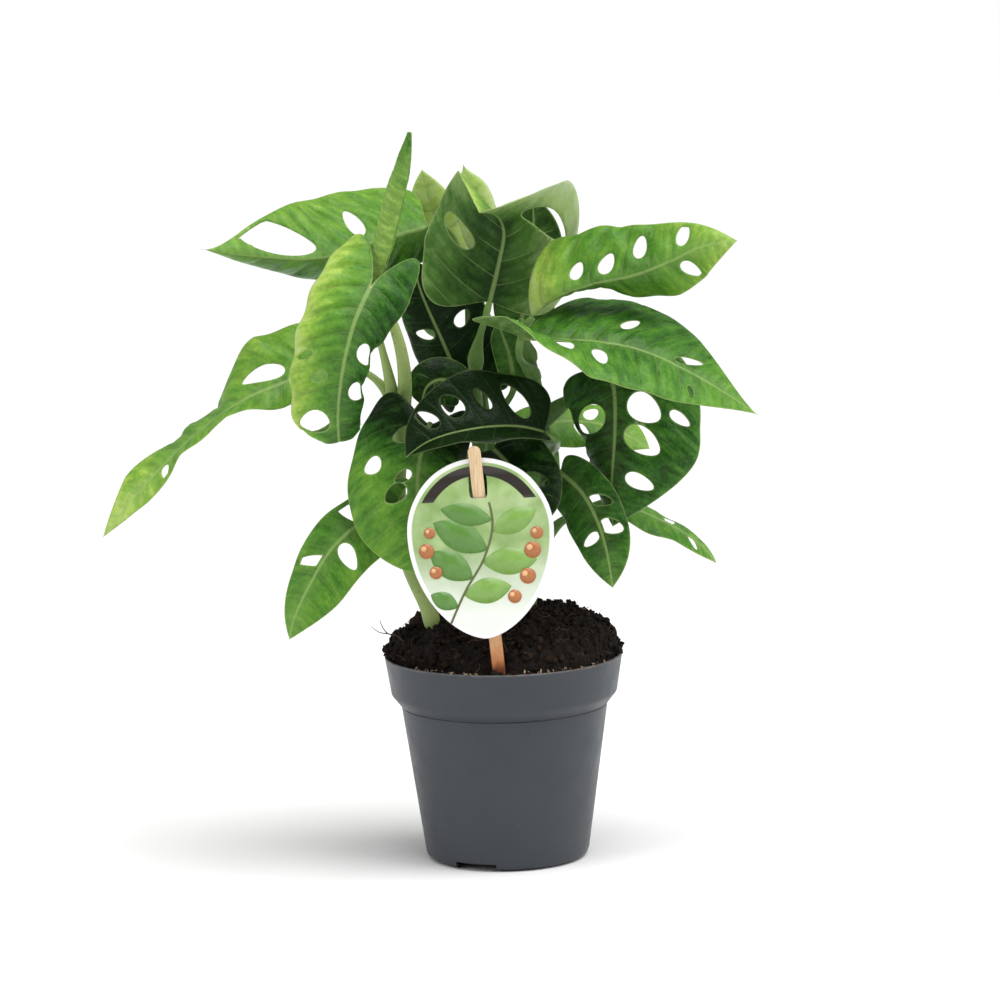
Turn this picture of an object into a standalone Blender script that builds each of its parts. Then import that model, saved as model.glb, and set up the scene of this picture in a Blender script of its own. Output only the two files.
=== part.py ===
"""A Swiss cheese vine (Monstera adansonii) in a 12 cm nursery pot, with its plant label.

Lengths are in millimetres until a mesh is made, which is in metres. The origin is the middle of the
pot's underside, +Z is up, and the label stands at the front, towards -Y.
"""

import math

import bpy
import numpy as np
from mathutils import geometry

MM = 0.001

# Driving dimensions of the pot: a standard 12 cm nursery pot.
RIM_RADIUS = 60.0
POT_HEIGHT = 104.0
BAND_TOP = 85.0
BAND_RADIUS = 57.0
BODY_TOP = 78.6
BODY_RADIUS = 52.0
BASE_RADIUS = 41.3
CORNER = 3.5
WALL = 1.4
FLOOR = 1.6
RIM_ROUND = 0.4
POT_SEGMENTS = 48
SLOT_ANGLES = (246, 6, 126)
SLOT_WIDTH = 22.0
SLOT_HEIGHT = 4.0
SLOT_REACH = (36.0, 50.0)

# Clearance between pieces that touch on the real plant.
GAP = 0.3

# Driving dimensions of the soil: a mound, higher at the back and on the right.
SOIL_EDGE = 102.0
SOIL_RADIUS = 57.6
SOIL_RISE = 24.0
MOUND_MIDDLE = (6.0, 10.0)
MOUND_SIDES = (66.0, 54.0, 60.0, 50.0)
MOUND_POWER = 0.4
SOIL_LUMP = 1.3
SOIL_RINGS = 9

# Driving dimensions of the stems and leaf stalks.
STEM_SIDES = 8
STALK_SIDES = 6
STALK_START = 2.7
STALK_END = 1.6
STALK_STAND_OFF = 1.9
STALK_POINTS = 8
HOLE_TOP = 138.0

# Driving dimensions of the leaf that is still rolled up.
ROLLED_LINE = [(-59, -29, 294.5), (-55, -28, 311), (-48.5, -32, 337), (-43, -36, 356.5), (-40, -38, 370.5)]
ROLLED_RADII = (1.6, 3.6, 4.9, 5.2, 5.1, 4.5, 3.2, 0.9)

# Driving dimensions of the leaves.
BLADE = 0.7
RIM_STEP = 6.5
GRID_STEP = 9.0
HOLE_CORNERS = 8
HOLE_RIB = 1.8
HOLE_EDGE = 3.0

# Driving dimensions of the label and its stick.
STICK_FOOT = (-0.6, -50.0, 84.0)
STICK_TOP = (-12.4, -56.0, 218.0)
STICK_WIDTH = 6.3
STICK_THICK = 2.0
SLOT_DROP = 20.0
CARD = 0.6
CARD_LEAN = (-3.0, -4.0, 90.0)
CARD_RADIUS = 36.0
CARD_DROP = 22.5
CARD_POINT = 54.0
CARD_SLOT = (9.0, 12.0)
CARD_STEP = 2.0

GREENS = {
    "light": (0.23, 0.42, 0.08, 1),
    "mid": (0.07, 0.25, 0.05, 1),
    "dark": (0.02, 0.11, 0.025, 1),
    "stem": (0.25, 0.38, 0.11, 1),
}


def leaf(rib, face, half, left, right, lobe=14.0, peak=0.42, taper=2.1, cleft=1.0, wave=1.0,
         tone="mid", holes_left=(), holes_right=()):
    """One blade's design.

    rib is the midrib from the petiole to the tip, and face the way the upper side looks, from base
    to tip. half is the width left and right of the midrib, seen from above with the tip ahead. left
    and right hold the droop in degrees, at the rib and at the edge, in steps from base to tip. lobe
    is how far the blade reaches back past its stalk, peak where it is widest, and taper how drawn
    out its tip is; a pair is for left and right. A lower cleft makes rounder lobes. A hole is (along,
    out, length, width, lean): two shares of the blade, two sizes, and the degrees that its narrow
    end leans to the tip.
    """
    return dict(rib=rib, face=face, half=half, left=left, right=right, lobe=lobe, peak=peak,
                taper=taper, cleft=cleft, wave=wave, tone=tone, holes_left=holes_left, holes_right=holes_right)


LEAVES = {
    "leaf_upper_left": leaf(
        rib=[(-33, 38, 316), (-57, 26, 311), (-87, 14, 304), (-122, 4, 307), (-146, -4, 312)],
        face=[(0.1, -0.6, 0.8), (-0.1, -0.8, 0.6), (-0.2, -0.8, 0.6)],
        half=(24, 43), left=((75, 85), (105, 125)), right=((0, 15), (0, 25)), peak=0.34,
        taper=(3.2, 3.9), lobe=10, wave=0.3, holes_left=[(0.4, 0.5, 12, 7, 30)],
        holes_right=[(0.28, 0.38, 20, 8, 0), (0.67, 0.4, 44, 19, -105)],
    ),
    "leaf_front_left": leaf(
        rib=[(-61, -46, 296), (-69, -58, 280), (-75, -64, 258), (-78, -62, 236), (-78, -52, 221),
             (-77, -40, 223), (-76, -34, 232)],
        face=[(-0.1, -0.95, 0.35), (-0.2, -1, 0.1), (-0.2, -1, -0.2), (0, -0.2, -1)],
        half=(21, 28), left=((0, 25), (30, 95), (35, 100), (30, 90), (10, 40)),
        right=((-5, 20), (0, 40)), lobe=(28, 34), peak=(0.3, 0.42), taper=1.5, cleft=0.5, tone="light",
        holes_left=[(0.32, 0.6, 14, 11, 30), (0.52, 0.6, 14, 10, 30)],
        holes_right=[(0.38, 0.75, 9, 4, 30), (0.46, 0.4, 8, 5, 30), (0.68, 0.5, 17, 12, 30)],
    ),
    "leaf_far_left": leaf(
        rib=[(-83, -8, 252), (-104, -12, 246), (-127, -16, 237), (-152, -20, 220), (-177, -22, 196),
             (-198, -22, 171)],
        face=[(-0.2, -0.85, 0.5), (-0.2, -0.85, 0.5), (-0.6, -0.15, 0.78), (-0.62, -0.2, 0.76),
              (-0.5, -0.7, 0.5), (-0.5, -0.7, 0.5)],
        half=(14, 31), left=((-15, 0), (-10, 0), (0, 5), (0, 5)), right=((0, 10), (0, 20)),
        lobe=10, peak=(0.4, 0.22), taper=2,
        holes_left=[(0.68, 0.5, 8, 5, 30)],
        holes_right=[(0.22, 0.3, 22, 9, 75)],
    ),
    "leaf_low_left": leaf(
        rib=[(-51, -20, 184), (-67, -28, 178), (-83, -36, 166), (-95, -40, 148), (-103, -42, 132),
             (-106, -38, 120)],
        face=[(-0.1, -0.9, 0.3), (-0.2, -0.9, 0.1)],
        half=(20, 15), left=((5, 20), (5, 20)), right=((5, 20), (5, 20)), peak=(0.42, 0.3),
        holes_left=[(0.42, 0.45, 15, 9, 30)],
        holes_right=[(0.22, 0.4, 18, 9, 30), (0.55, 0.35, 17, 5, 30)],
    ),
    "leaf_centre_left": leaf(
        rib=[(-34, -28, 225), (-40, -38, 204), (-40, -43, 181), (-34, -42, 150)],
        face=[(0, -0.8, 0.6), (0, -1, 0)],
        half=(24, 36), left=((5, 30), (5, 40)), right=((0, 30), (0, 30)), lobe=18,
        holes_right=[(0.1, 0.3, 12, 8, 30), (0.3, 0.65, 9, 7, 30), (0.35, 0.2, 9, 5, 30),
                     (0.45, 0.3, 12, 8, 30)],
    ),
    "leaf_over_label": leaf(
        rib=[(23, -32, 220), (9, -36, 224), (-14, -42, 224), (-34, -44, 219), (-46, -44, 211)],
        face=[(0, -0.2, 1), (0, -0.2, 1)],
        half=(16, 30), left=((0, 10), (0, 10)), right=((-45, -55), (-45, -55)), lobe=4, tone="dark",
        holes_right=[(0.2, 0.5, 20, 8, 30), (0.4, 0.5, 12, 5, 30), (0.6, 0.5, 14, 9, 30),
                     (0.76, 0.5, 13, 6, 30)],
    ),
    "leaf_top": leaf(
        rib=[(-3, 6, 281), (2, 6, 300), (5, 3, 316), (2, -6, 325), (-7, -22, 329)],
        face=[(0, 1, 0.2), (0, 1, 0.2), (0, 0.8, 0.6), (0, 0.2, 1), (0, 0, 1)],
        half=(42, 41), left=((-5, -20), (-18, -32), (-20, -32), (-14, -24)), lobe=(6, 14), peak=0.48,
        right=((-5, -25), (-10, -35), (-40, -50), (-50, -60)), taper=1.7,
        holes_left=[(0.54, 0.55, 27, 7, -25)],
        holes_right=[(0.44, 0.6, 23, 9, 30)],
    ),
    "leaf_top_back": leaf(
        rib=[(-4, 30, 309), (-7, 32, 324), (-10, 34, 335), (-13, 36, 342), (-15, 37, 348)],
        face=[(0, -0.9, 0.4), (0, -0.9, 0.4)],
        half=(12, 9), left=((0, 20), (0, 30)), right=((0, 20), (0, 30)), lobe=6, taper=4.5,
    ),
    "leaf_inner_left": leaf(
        rib=[(-18, 19, 238), (-28, 21, 262), (-38, 23, 287), (-41, 24, 301)],
        face=[(-0.2, -1, 0.2), (-0.1, -1, 0.1)],
        half=(17, 28), left=((0, 30), (0, 30)), right=((0, 30), (0, 30)), tone="dark", peak=0.36,
        holes_left=[(0.45, 0.4, 10, 5, 30)],
        holes_right=[(0.45, 0.5, 10, 6, 30)],
    ),
    "leaf_inner_right": leaf(
        rib=[(8, 8, 244), (6, 9, 255), (3, 10, 264), (1, 10, 271)],
        face=[(0, -1, 0.1), (0, -1, 0.1)],
        half=(8, 8), left=((0, 20), (0, 20)), right=((0, 20), (0, 20)), tone="light", lobe=6,
    ),
    "leaf_upper_right": leaf(
        rib=[(18, -5, 274), (30, -10, 284), (49, -13, 291), (68, -15, 295), (87, -16, 302),
             (102, -18, 309), (120, -20, 312)],
        face=[(0, -0.85, 0.5), (0, -0.8, 0.6)],
        half=(33, 20), left=((0, 20), (0, 10)), tone="light", lobe=(-12, 6), peak=(0.28, 0.5),
        right=((120, 160), (100, 140), (40, 60), (20, 40)),
        holes_left=[(0.27, 0.3, 10, 6, 30), (0.4, 0.3, 12, 7, 30), (0.58, 0.5, 13, 7, 30),
                    (0.78, 0.55, 11, 6, 30)],
        holes_right=[(0.75, 0.5, 12, 6, 30)],
    ),
    "leaf_right": leaf(
        rib=[(12, -18, 266), (31, -23, 265), (51, -28, 264), (71, -32, 260), (95, -36, 249),
             (129, -38, 227)],
        face=[(0.1, -0.2, 1), (0.2, -0.25, 0.9)],
        half=(53, 34), left=((-22, 8), (-14, 10)), lobe=(-12, 24), peak=(0.23, 0.34), taper=(3.6, 2.6),
        wave=0.5,
        right=((-40, -30), (8, 15), (12, 25), (10, 20)),
        holes_left=[(0.4, 0.4, 12, 6, 30), (0.66, 0.25, 15, 5, 60)],
        holes_right=[(0.2, 0.38, 14, 9, 30), (0.34, 0.42, 13, 7, 30), (0.72, 0.6, 9, 3, 30)],
    ),
    "leaf_lower_right": leaf(
        rib=[(55, 6, 247), (58, -4, 237), (58, -10, 217), (56, -12, 192), (56, -8, 168)],
        face=[(0, -1, 0.3), (0, -1, 0)],
        half=(44, 30), left=((0, 15), (0, 25)), right=((0, 30), (50, 160)), tone="dark",
        lobe=6, peak=(0.42, 0.33), taper=2.3,
        holes_left=[(0.29, 0.34, 18, 13, 30), (0.47, 0.32, 20, 12, 30), (0.72, 0.4, 16, 8, 30),
                    (0.34, 0.75, 12, 5, 30)],
        holes_right=[(0.35, 0.5, 20, 15, 30)],
    ),
    "leaf_low_right": leaf(
        rib=[(30, -18, 198), (41, -24, 188), (50, -30, 169), (55, -30, 141)],
        face=[(0, -1, 0.3), (0, -1, 0)],
        lobe=6, half=(15, 16), left=((0, 20), (0, 20)), right=((0, 40), (0, 40)), tone="dark",
        holes_left=[(0.35, 0.4, 12, 5, 30), (0.55, 0.4, 12, 7, 30)],
        holes_right=[(0.6, 0.4, 10, 5, 30)],
    ),
    "leaf_thin_right": leaf(
        rib=[(58, 26, 176), (73, 28, 169), (91, 32, 159), (103, 36, 149), (110, 38, 140)],
        face=[(0.1, -0.3, 1), (0.2, -0.3, 1)],
        half=(15, 15), left=((0, 20), (0, 20)), right=((0, 20), (0, 20)), lobe=8,
        holes_left=[(0.5, 0.4, 12, 5, 30)],
        holes_right=[(0.7, 0.4, 10, 4, 30)],
    ),
    "leaf_behind_right": leaf(
        rib=[(17, 34, 213), (36, 40, 215), (56, 45, 211), (77, 45, 199)],
        face=[(0, -0.6, 0.8), (0, -0.6, 0.8)],
        half=(18, 16), left=((0, 20), (0, 20)), right=((0, 20), (0, 20)), tone="light",
        holes_left=[(0.5, 0.4, 12, 6, 30)],
        holes_right=[(0.4, 0.4, 12, 6, 30)],
    ),
    "leaf_behind_label": leaf(
        rib=[(-3, -20, 211), (6, -28, 202), (12, -34, 188), (14, -36, 170)],
        face=[(0, -0.9, 0.5), (0, -1, 0)],
        half=(22, 20), left=((0, 20), (0, 20)), right=((0, 20), (0, 20)), tone="dark",
        lobe=9,
        holes_left=[(0.5, 0.4, 12, 6, 30)],
        holes_right=[(0.4, 0.4, 12, 6, 30)],
    ),
    "leaf_inner_low": leaf(
        rib=[(-20, 4, 240), (-29, 2, 243), (-35, 0, 240), (-38, -2, 231)],
        face=[(0, -0.9, 0.4), (0, -1, 0)],
        half=(13, 12), left=((0, 20), (0, 20)), right=((0, 20), (0, 20)), lobe=6,
        holes_left=[(0.5, 0.4, 8, 4, 30)],
    ),
    "leaf_back_top": leaf(
        rib=[(-18, 62, 284), (-25, 66, 304), (-32, 68, 324), (-36, 68, 342)],
        face=[(-0.2, -0.9, 0.3), (-0.2, -0.9, 0.3)],
        half=(14, 14), left=((0, 20), (0, 30)), right=((0, 20), (0, 20)), tone="light", lobe=8,
    ),
    "leaf_back_left": leaf(
        rib=[(-24, 46, 262), (-48, 62, 280), (-72, 76, 282), (-94, 84, 268)],
        face=[(-0.2, 0.5, 0.9), (-0.5, 0.6, 0.7)],
        half=(26, 26), left=((0, 25), (0, 30)), right=((0, 25), (0, 30)),
        holes_left=[(0.3, 0.4, 13, 7, 30), (0.5, 0.4, 12, 6, 30)],
        holes_right=[(0.35, 0.4, 13, 7, 30), (0.55, 0.4, 12, 6, 30)],
    ),
    "leaf_back_right": leaf(
        rib=[(13, 38, 268), (17, 44, 292), (20, 48, 312), (20, 50, 330)],
        face=[(0, 0.95, -0.2), (0, 0.95, -0.2)],
        half=(17, 17), left=((0, 15), (0, 20)), right=((0, 15), (0, 20)), tone="dark", lobe=8,
        holes_left=[(0.2, 0.45, 9, 5, 30)],
        holes_right=[(0.25, 0.4, 9, 5, 30)],
    ),
    "leaf_back_low": leaf(
        rib=[(-2, 46, 196), (2, 68, 200), (6, 90, 184), (8, 102, 154)],
        face=[(0, 0.4, 0.9), (0, 1, 0.2)],
        half=(28, 28), left=((0, 25), (0, 30)), right=((0, 25), (0, 30)),
        holes_left=[(0.3, 0.4, 13, 7, 30), (0.55, 0.4, 12, 6, 30)],
        holes_right=[(0.35, 0.4, 13, 7, 30), (0.55, 0.4, 12, 6, 30)],
    ),
}

# A stem's line runs up from its foot in the soil. A stalk is (leaf, share of the stem where it
# leaves, pull of its bend, how it meets the blade: from below and from behind).
STEMS = {
    "stem_left": dict(
        line=[(-35, -6, 96), (-36, -6, 124), (-46, -10, 152), (-51, -6, 184), (-49, -6, 215),
              (-46, -10, 246), (-50, -21, 272), (-58.8, -28.5, 292.7)],
        radii=(4.3, 4.3, 4.2, 4.2, 3.9, 3.0, 1.9),
        stalks=[("leaf_low_left", 0.25, 0.4, (0.3, 1)), ("leaf_far_left", 0.6, 0.4, (0.3, 1)),
                ("leaf_front_left", 0.5, 0.45, (1, 0.1))],
    ),
    "stem_centre": dict(
        line=[(-6, 8, 96), (-7, 8, 125), (-9, 10, 181), (-10, 12, 222), (-11, 12, 246)],
        radii=(3.6, 3.4, 3.0, 2.4),
        stalks=[("leaf_centre_left", 0.45, 0.4, (1, 0.2)), ("leaf_behind_label", 0.5, 0.4, (1, 0.2)),
                ("leaf_inner_low", 0.7, 0.4, (0.5, 0.8)), ("leaf_inner_left", 0.6, 0.4, (0.1, 1)),
                ("leaf_inner_right", 0.75, 0.4, (0.1, 1)), ("leaf_top", 0.97, 0.4, (0, 1))],
    ),
    "stem_right": dict(
        line=[(12, 15, 96), (14, 15, 126), (20, 15, 169), (24, 14, 203), (21, 12, 231), (17, 8, 252)],
        radii=(3.6, 3.4, 3.0, 2.4),
        stalks=[("leaf_thin_right", 0.3, 0.4, (0.6, 0.8)), ("leaf_over_label", 0.66, 0.28, (0.3, 1)),
                ("leaf_low_right", 0.5, 0.4, (1, 0.2)), ("leaf_lower_right", 0.75, 0.4, (1, 0)),
                ("leaf_right", 0.9, 0.4, (1, 0.2)), ("leaf_upper_right", 0.97, 0.4, (0.2, 1))],
    ),
    "stem_back": dict(
        line=[(2, 32, 96), (2, 32, 126), (-2, 34, 180), (-8, 38, 230), (-12, 40, 256)],
        radii=(3.6, 3.4, 3.0, 2.4),
        stalks=[("leaf_back_low", 0.4, 0.4, (0.3, 1)), ("leaf_behind_right", 0.6, 0.4, (0.5, 0.8)),
                ("leaf_back_right", 0.8, 0.4, (0.3, 1)), ("leaf_back_left", 0.85, 0.4, (0.3, 1)),
                ("leaf_back_top", 0.93, 0.4, (0.2, 1)), ("leaf_upper_left", 0.9, 0.3, (0.1, 1)),
                ("leaf_top_back", 0.97, 0.4, (0.2, 1))],
    ),
}


def smooth(points, count):
    """A smooth curve through the points, as count samples an even distance apart.

    Each span is a cubic whose slope at a point is the mean of the slopes on its two sides.
    """
    points = np.asarray(points, float)
    chord = np.linalg.norm(np.diff(points, axis=0), axis=1)
    knots = np.concatenate([[0], np.cumsum(chord)])
    slopes = np.diff(points, axis=0) / chord[:, None]
    middle = (slopes[:-1] + slopes[1:]) / 2
    ends = np.vstack([1.5 * slopes[:1] - 0.5 * middle[:1], middle, 1.5 * slopes[-1:] - 0.5 * middle[-1:]])
    at = np.linspace(0, knots[-1], 40 * len(points))
    span = np.clip(np.searchsorted(knots, at, side="right") - 1, 0, len(chord) - 1)
    step = chord[span][:, None]
    t = (at - knots[span])[:, None] / step
    fine = (
        points[span] * (2 * t**3 - 3 * t**2 + 1)
        + points[span + 1] * (3 * t**2 - 2 * t**3)
        + ends[span] * step * (t**3 - 2 * t**2 + t)
        + ends[span + 1] * step * (t**3 - t**2)
    )
    return even(fine, count)


def even(line, count):
    """The same line as count points an even distance apart."""
    line = np.asarray(line, float)
    run = np.concatenate([[0], np.cumsum(np.linalg.norm(np.diff(line, axis=0), axis=1))])
    at = np.linspace(0, run[-1], count)
    return np.stack([np.interp(at, run, column) for column in line.T], axis=1)


def unit(vectors):
    return vectors / np.linalg.norm(vectors, axis=-1, keepdims=True)


def length_of(line):
    return float(np.linalg.norm(np.diff(line, axis=0), axis=1).sum())


def sided(value, side):
    """A pair's value for this side of the midrib, 0 for left and 1 for right, or the one for both."""
    return value[side] if isinstance(value, tuple) else value


def half_outline(design, length, side):
    """One side of the flat blade, from its stalk round the lobe to the tip.

    It is a half circle stretched to the length, with its middle moved to the widest place. The sine
    that gives the width is raised to a power that grows from 0.75 at the base, for a full lobe, to
    the taper at the tip, which draws it out.
    """
    turn = np.linspace(0, math.pi, 400)
    reach = ((1 - np.cos(turn)) / 2) ** (math.log(sided(design["peak"], side)) / math.log(0.5))
    back = np.clip(np.sin(2 * turn), 0, None) ** design["cleft"] * (turn < math.pi / 2)
    power = 0.75 + (sided(design["taper"], side) - 0.75) * np.clip((turn - 1.2) / 1.9, 0, 1) ** 1.3
    across = np.sin(turn).clip(0) ** power
    along = length * reach - sided(design["lobe"], side) * back
    return np.stack([along, design["half"][side] * across], axis=1)


def hole_loop(design, length, hole, side, corners):
    """An egg-shaped hole between two side veins, kept clear of the midrib and of the edge."""
    along, out, long, wide, lean = hole
    line = half_outline(design, length, int(side < 0))
    front = line[line[:, 0].argmin():]
    room = np.interp(along * length, front[:, 0], front[:, 1])
    turn = np.arange(corners) * 2 * math.pi / corners
    lean = math.radians(lean)
    major = long / 2 * np.cos(turn)
    minor = wide / 2 * np.sin(turn) * (1 - 0.22 * np.cos(turn))
    forward = along * length + major * math.sin(lean) - minor * math.cos(lean)
    outward = out * room + major * math.cos(lean) + minor * math.sin(lean)
    edge = np.interp(forward, front[:, 0], front[:, 1]) - HOLE_EDGE
    return np.stack([forward, side * np.clip(outward, HOLE_RIB, edge)], axis=1)


def inside(points, loop):
    """Which flat points lie inside a closed loop, by counting the edges to their right."""
    x, y = points[:, :1], points[:, 1:]
    ax, ay = loop[:, 0], loop[:, 1]
    bx, by = np.roll(ax, -1), np.roll(ay, -1)
    spans = (ay > y) != (by > y)
    rise = np.where(by == ay, 1e-9, by - ay)
    return ((spans & (x < ax + (y - ay) / rise * (bx - ax))).sum(axis=1) % 2) == 1


def flat_mesh(outline, holes, step, creases):
    """Triangles that fill an outline but not its holes, with edges on the creases and an even grid."""
    loops = [outline, *holes]
    low, high = outline.min(axis=0), outline.max(axis=0)
    row = step * math.sqrt(3) / 2
    grid = np.array([
        (low[0] + column * step + (line % 2) * step / 2, low[1] + line * row)
        for line in range(int((high[1] - low[1]) / row) + 1)
        for column in range(int((high[0] - low[0]) / step) + 1)
    ])
    rims = np.concatenate([*loops, *creases])
    clear = np.linalg.norm(grid[:, None] - rims[None], axis=2).min(axis=1) > 0.62 * step
    kept = inside(grid, outline) & clear
    for hole in holes:
        kept &= ~inside(grid, hole)
    points, edges = [], []
    for loop in loops:
        first = len(points)
        points += list(loop)
        edges += [(first + i, first + (i + 1) % len(loop)) for i in range(len(loop))]
    for crease in creases:
        first = len(points)
        points += list(crease)
        edges += [(first + i, first + i + 1) for i in range(len(crease) - 1)]
    points += list(grid[kept])
    made = geometry.delaunay_2d_cdt([tuple(map(float, p)) for p in points], edges, [], 0, 1e-4)
    flat = np.array([tuple(p) for p in made[0]])
    triangles = np.array(made[2])
    sides = flat[triangles[:, 1:]] - flat[triangles[:, :1]]
    triangles = triangles[np.abs(np.linalg.det(sides)) > 1e-3]
    centres = flat[triangles].mean(axis=1)
    filled = inside(centres, outline)
    for hole in holes:
        filled &= ~inside(centres, hole)
    triangles = triangles[filled]
    used, renumbered = np.unique(triangles, return_inverse=True)
    return flat[used], renumbered.reshape(-1, 3)


def leaf_flat(design, rim_step, grid_step, corners):
    """The flat blade with its holes, creased on the midrib."""
    length = length_of(smooth(design["rib"], 200))
    sides = [half_outline(design, length, side) for side in (0, 1)]
    sides = [even(side, max(12, int(length_of(side) / rim_step))) for side in sides]
    outline = np.vstack([sides[0], (sides[1] * (1, -1))[-2:0:-1]])
    holes = [hole_loop(design, length, hole, 1, corners) for hole in design["holes_left"]]
    holes += [hole_loop(design, length, hole, -1, corners) for hole in design["holes_right"]]
    steps = max(4, int(length / grid_step))
    crease = np.stack([np.linspace(0, length, steps), np.zeros(steps)], axis=1)
    return flat_mesh(outline, holes, grid_step, [crease])


def frame_of(design, count=200):
    """Points along the midrib with the forward, left and upward directions at each."""
    rib = smooth(design["rib"], count)
    ahead = unit(np.gradient(rib, axis=0))
    faces = np.asarray(design["face"], float)
    at = np.linspace(0, len(faces) - 1, count)
    up = np.stack([np.interp(at, np.arange(len(faces)), column) for column in faces.T], axis=1)
    up = unit(up - (up * ahead).sum(axis=1, keepdims=True) * ahead)
    return rib, ahead, np.cross(up, ahead), up


def droop_along(steps, share, end):
    """The droop in radians at each share of the length, at the rib (0) or at the edge (1)."""
    return np.radians(np.interp(share, np.linspace(0, 1, len(steps)), [step[end] for step in steps]))


def carry(flat, design):
    """Flat points carried on to the bent blade.

    The distance along runs on the midrib. The distance across runs on an arc that starts at the
    rib's droop and ends at the edge's. The margin waves a little.
    """
    rib, ahead, left, up = frame_of(design)
    length = length_of(rib)
    along, across = flat[:, 0], flat[:, 1]
    at = np.linspace(0, length, len(rib))

    def follow(line):
        return np.stack([np.interp(along, at, column) for column in line.T], axis=1)

    share = np.clip(along / length, 0, 1)
    out = np.abs(across)
    half = np.where(across > 0, design["half"][0], design["half"][1])
    side = (across < 0).astype(int)
    at_rib, at_edge = [
        np.where(side, droop_along(design["right"], share, end), droop_along(design["left"], share, end))
        for end in (0, 1)
    ]
    bend = at_edge - at_rib
    bend = np.where(np.abs(bend) < 1e-3, 1e-3, bend)
    angle = at_rib + bend * out / half
    level = half / bend * (np.sin(angle) - np.sin(at_rib))
    drop = half / bend * (np.cos(at_rib) - np.cos(angle))
    ripple = design["wave"] * (out / half) ** 2 * np.sin(along * 0.16 + side * 2.0)
    behind = np.minimum(along, 0)[:, None] * follow(ahead)
    lift = (ripple - drop)[:, None] * follow(up)
    return follow(rib) + behind + (np.sign(across) * level)[:, None] * follow(left) + lift


def thicken(middle, triangles, thickness):
    """A closed sheet: the surface offset both ways, with a wall along every free edge."""
    corners = middle[triangles]
    turned = np.cross(corners[:, 1] - corners[:, 0], corners[:, 2] - corners[:, 0])
    normals = np.zeros_like(middle)
    for corner in range(3):
        np.add.at(normals, triangles[:, corner], turned)
    normals = unit(normals) * thickness / 2
    count = len(middle)
    ends = np.concatenate([triangles[:, [0, 1]], triangles[:, [1, 2]], triangles[:, [2, 0]]])
    paired = {tuple(end) for end in ends}
    free = np.array([end for end in ends if (end[1], end[0]) not in paired])
    wall = np.concatenate([
        np.stack([free[:, 1], free[:, 0], free[:, 0] + count], axis=1),
        np.stack([free[:, 1], free[:, 0] + count, free[:, 1] + count], axis=1),
    ])
    faces = np.concatenate([triangles, triangles[:, ::-1] + count, wall])
    return np.vstack([middle + normals, middle - normals]), faces


def new_object(name, points, faces, colour, roughness):
    """A mesh object from points in millimetres, with its own Principled material."""
    mesh = bpy.data.meshes.new(name)
    mesh.from_pydata((np.asarray(points) * MM).tolist(), [], [list(map(int, face)) for face in faces])
    mesh.validate()
    made = bpy.data.objects.new(name, mesh)
    bpy.context.scene.collection.objects.link(made)
    material = bpy.data.materials.new(name)
    material.use_nodes = True
    shader = material.node_tree.nodes["Principled BSDF"]
    shader.inputs["Base Color"].default_value = colour
    shader.inputs["Roughness"].default_value = roughness
    shader.inputs["Metallic"].default_value = 0.0
    mesh.materials.append(material)
    return made


def apply_modifiers(item):
    """Swaps an object's mesh for what its modifiers make of it."""
    graph = bpy.context.evaluated_depsgraph_get()
    finished = bpy.data.meshes.new_from_object(item.evaluated_get(graph))
    item.modifiers.clear()
    item.data = finished


def boolean(item, others, operation, solver="EXACT"):
    """Joins others to an object, or cuts them from it, and removes them."""
    group = bpy.data.collections.new(item.name + "_others")
    bpy.context.scene.collection.children.link(group)
    for other in others:
        bpy.context.scene.collection.objects.unlink(other)
        group.objects.link(other)
    change = item.modifiers.new(operation.title(), "BOOLEAN")
    change.operation = operation
    change.operand_type = "COLLECTION"
    change.collection = group
    change.solver = solver
    apply_modifiers(item)
    for other in others:
        bpy.data.objects.remove(other)
    bpy.data.collections.remove(group)


def lathe(profile, segments):
    """A turned solid whose profile runs from the axis round its outside and back to the axis."""
    profile = np.array(profile, float)
    turn = np.arange(segments) * 2 * math.pi / segments
    around = np.stack([np.cos(turn), np.sin(turn)], axis=1)
    rings = [np.column_stack([radius * around, np.full(segments, height)]) for radius, height in profile[1:-1]]
    points = np.vstack([*rings, (0, 0, profile[0, 1]), (0, 0, profile[-1, 1])])
    count = len(rings)
    low, high = count * segments, count * segments + 1
    faces = []
    for j in range(segments):
        k = (j + 1) % segments
        faces.append((low, k, j))
        faces.append(((count - 1) * segments + j, (count - 1) * segments + k, high))
        faces += [
            (i * segments + j, i * segments + k, (i + 1) * segments + k, (i + 1) * segments + j)
            for i in range(count - 1)
        ]
    return points, faces


def tube(line, radii, sides):
    """A closed round tube along a line. Each ring's start is the last one's, turned as the line turns."""
    line = np.asarray(line, float)
    radii = np.interp(np.linspace(0, 1, len(line)), np.linspace(0, 1, len(radii)), radii)
    ahead = unit(np.gradient(line, axis=0))
    side = np.cross(ahead[0], (0.3, 1.0, 0.1))
    turn = np.arange(sides) * 2 * math.pi / sides
    rings = []
    for middle, radius, forward in zip(line, radii, ahead):
        side = unit(side - (side @ forward) * forward)
        other = np.cross(forward, side)
        rings.append(middle + radius * (np.cos(turn)[:, None] * side + np.sin(turn)[:, None] * other))
    faces = [tuple(range(sides))[::-1], tuple(range((len(line) - 1) * sides, len(line) * sides))]
    for i in range(len(line) - 1):
        for j in range(sides):
            k = (j + 1) % sides
            faces.append((i * sides + j, i * sides + k, (i + 1) * sides + k, (i + 1) * sides + j))
    return np.vstack(rings), faces


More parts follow.
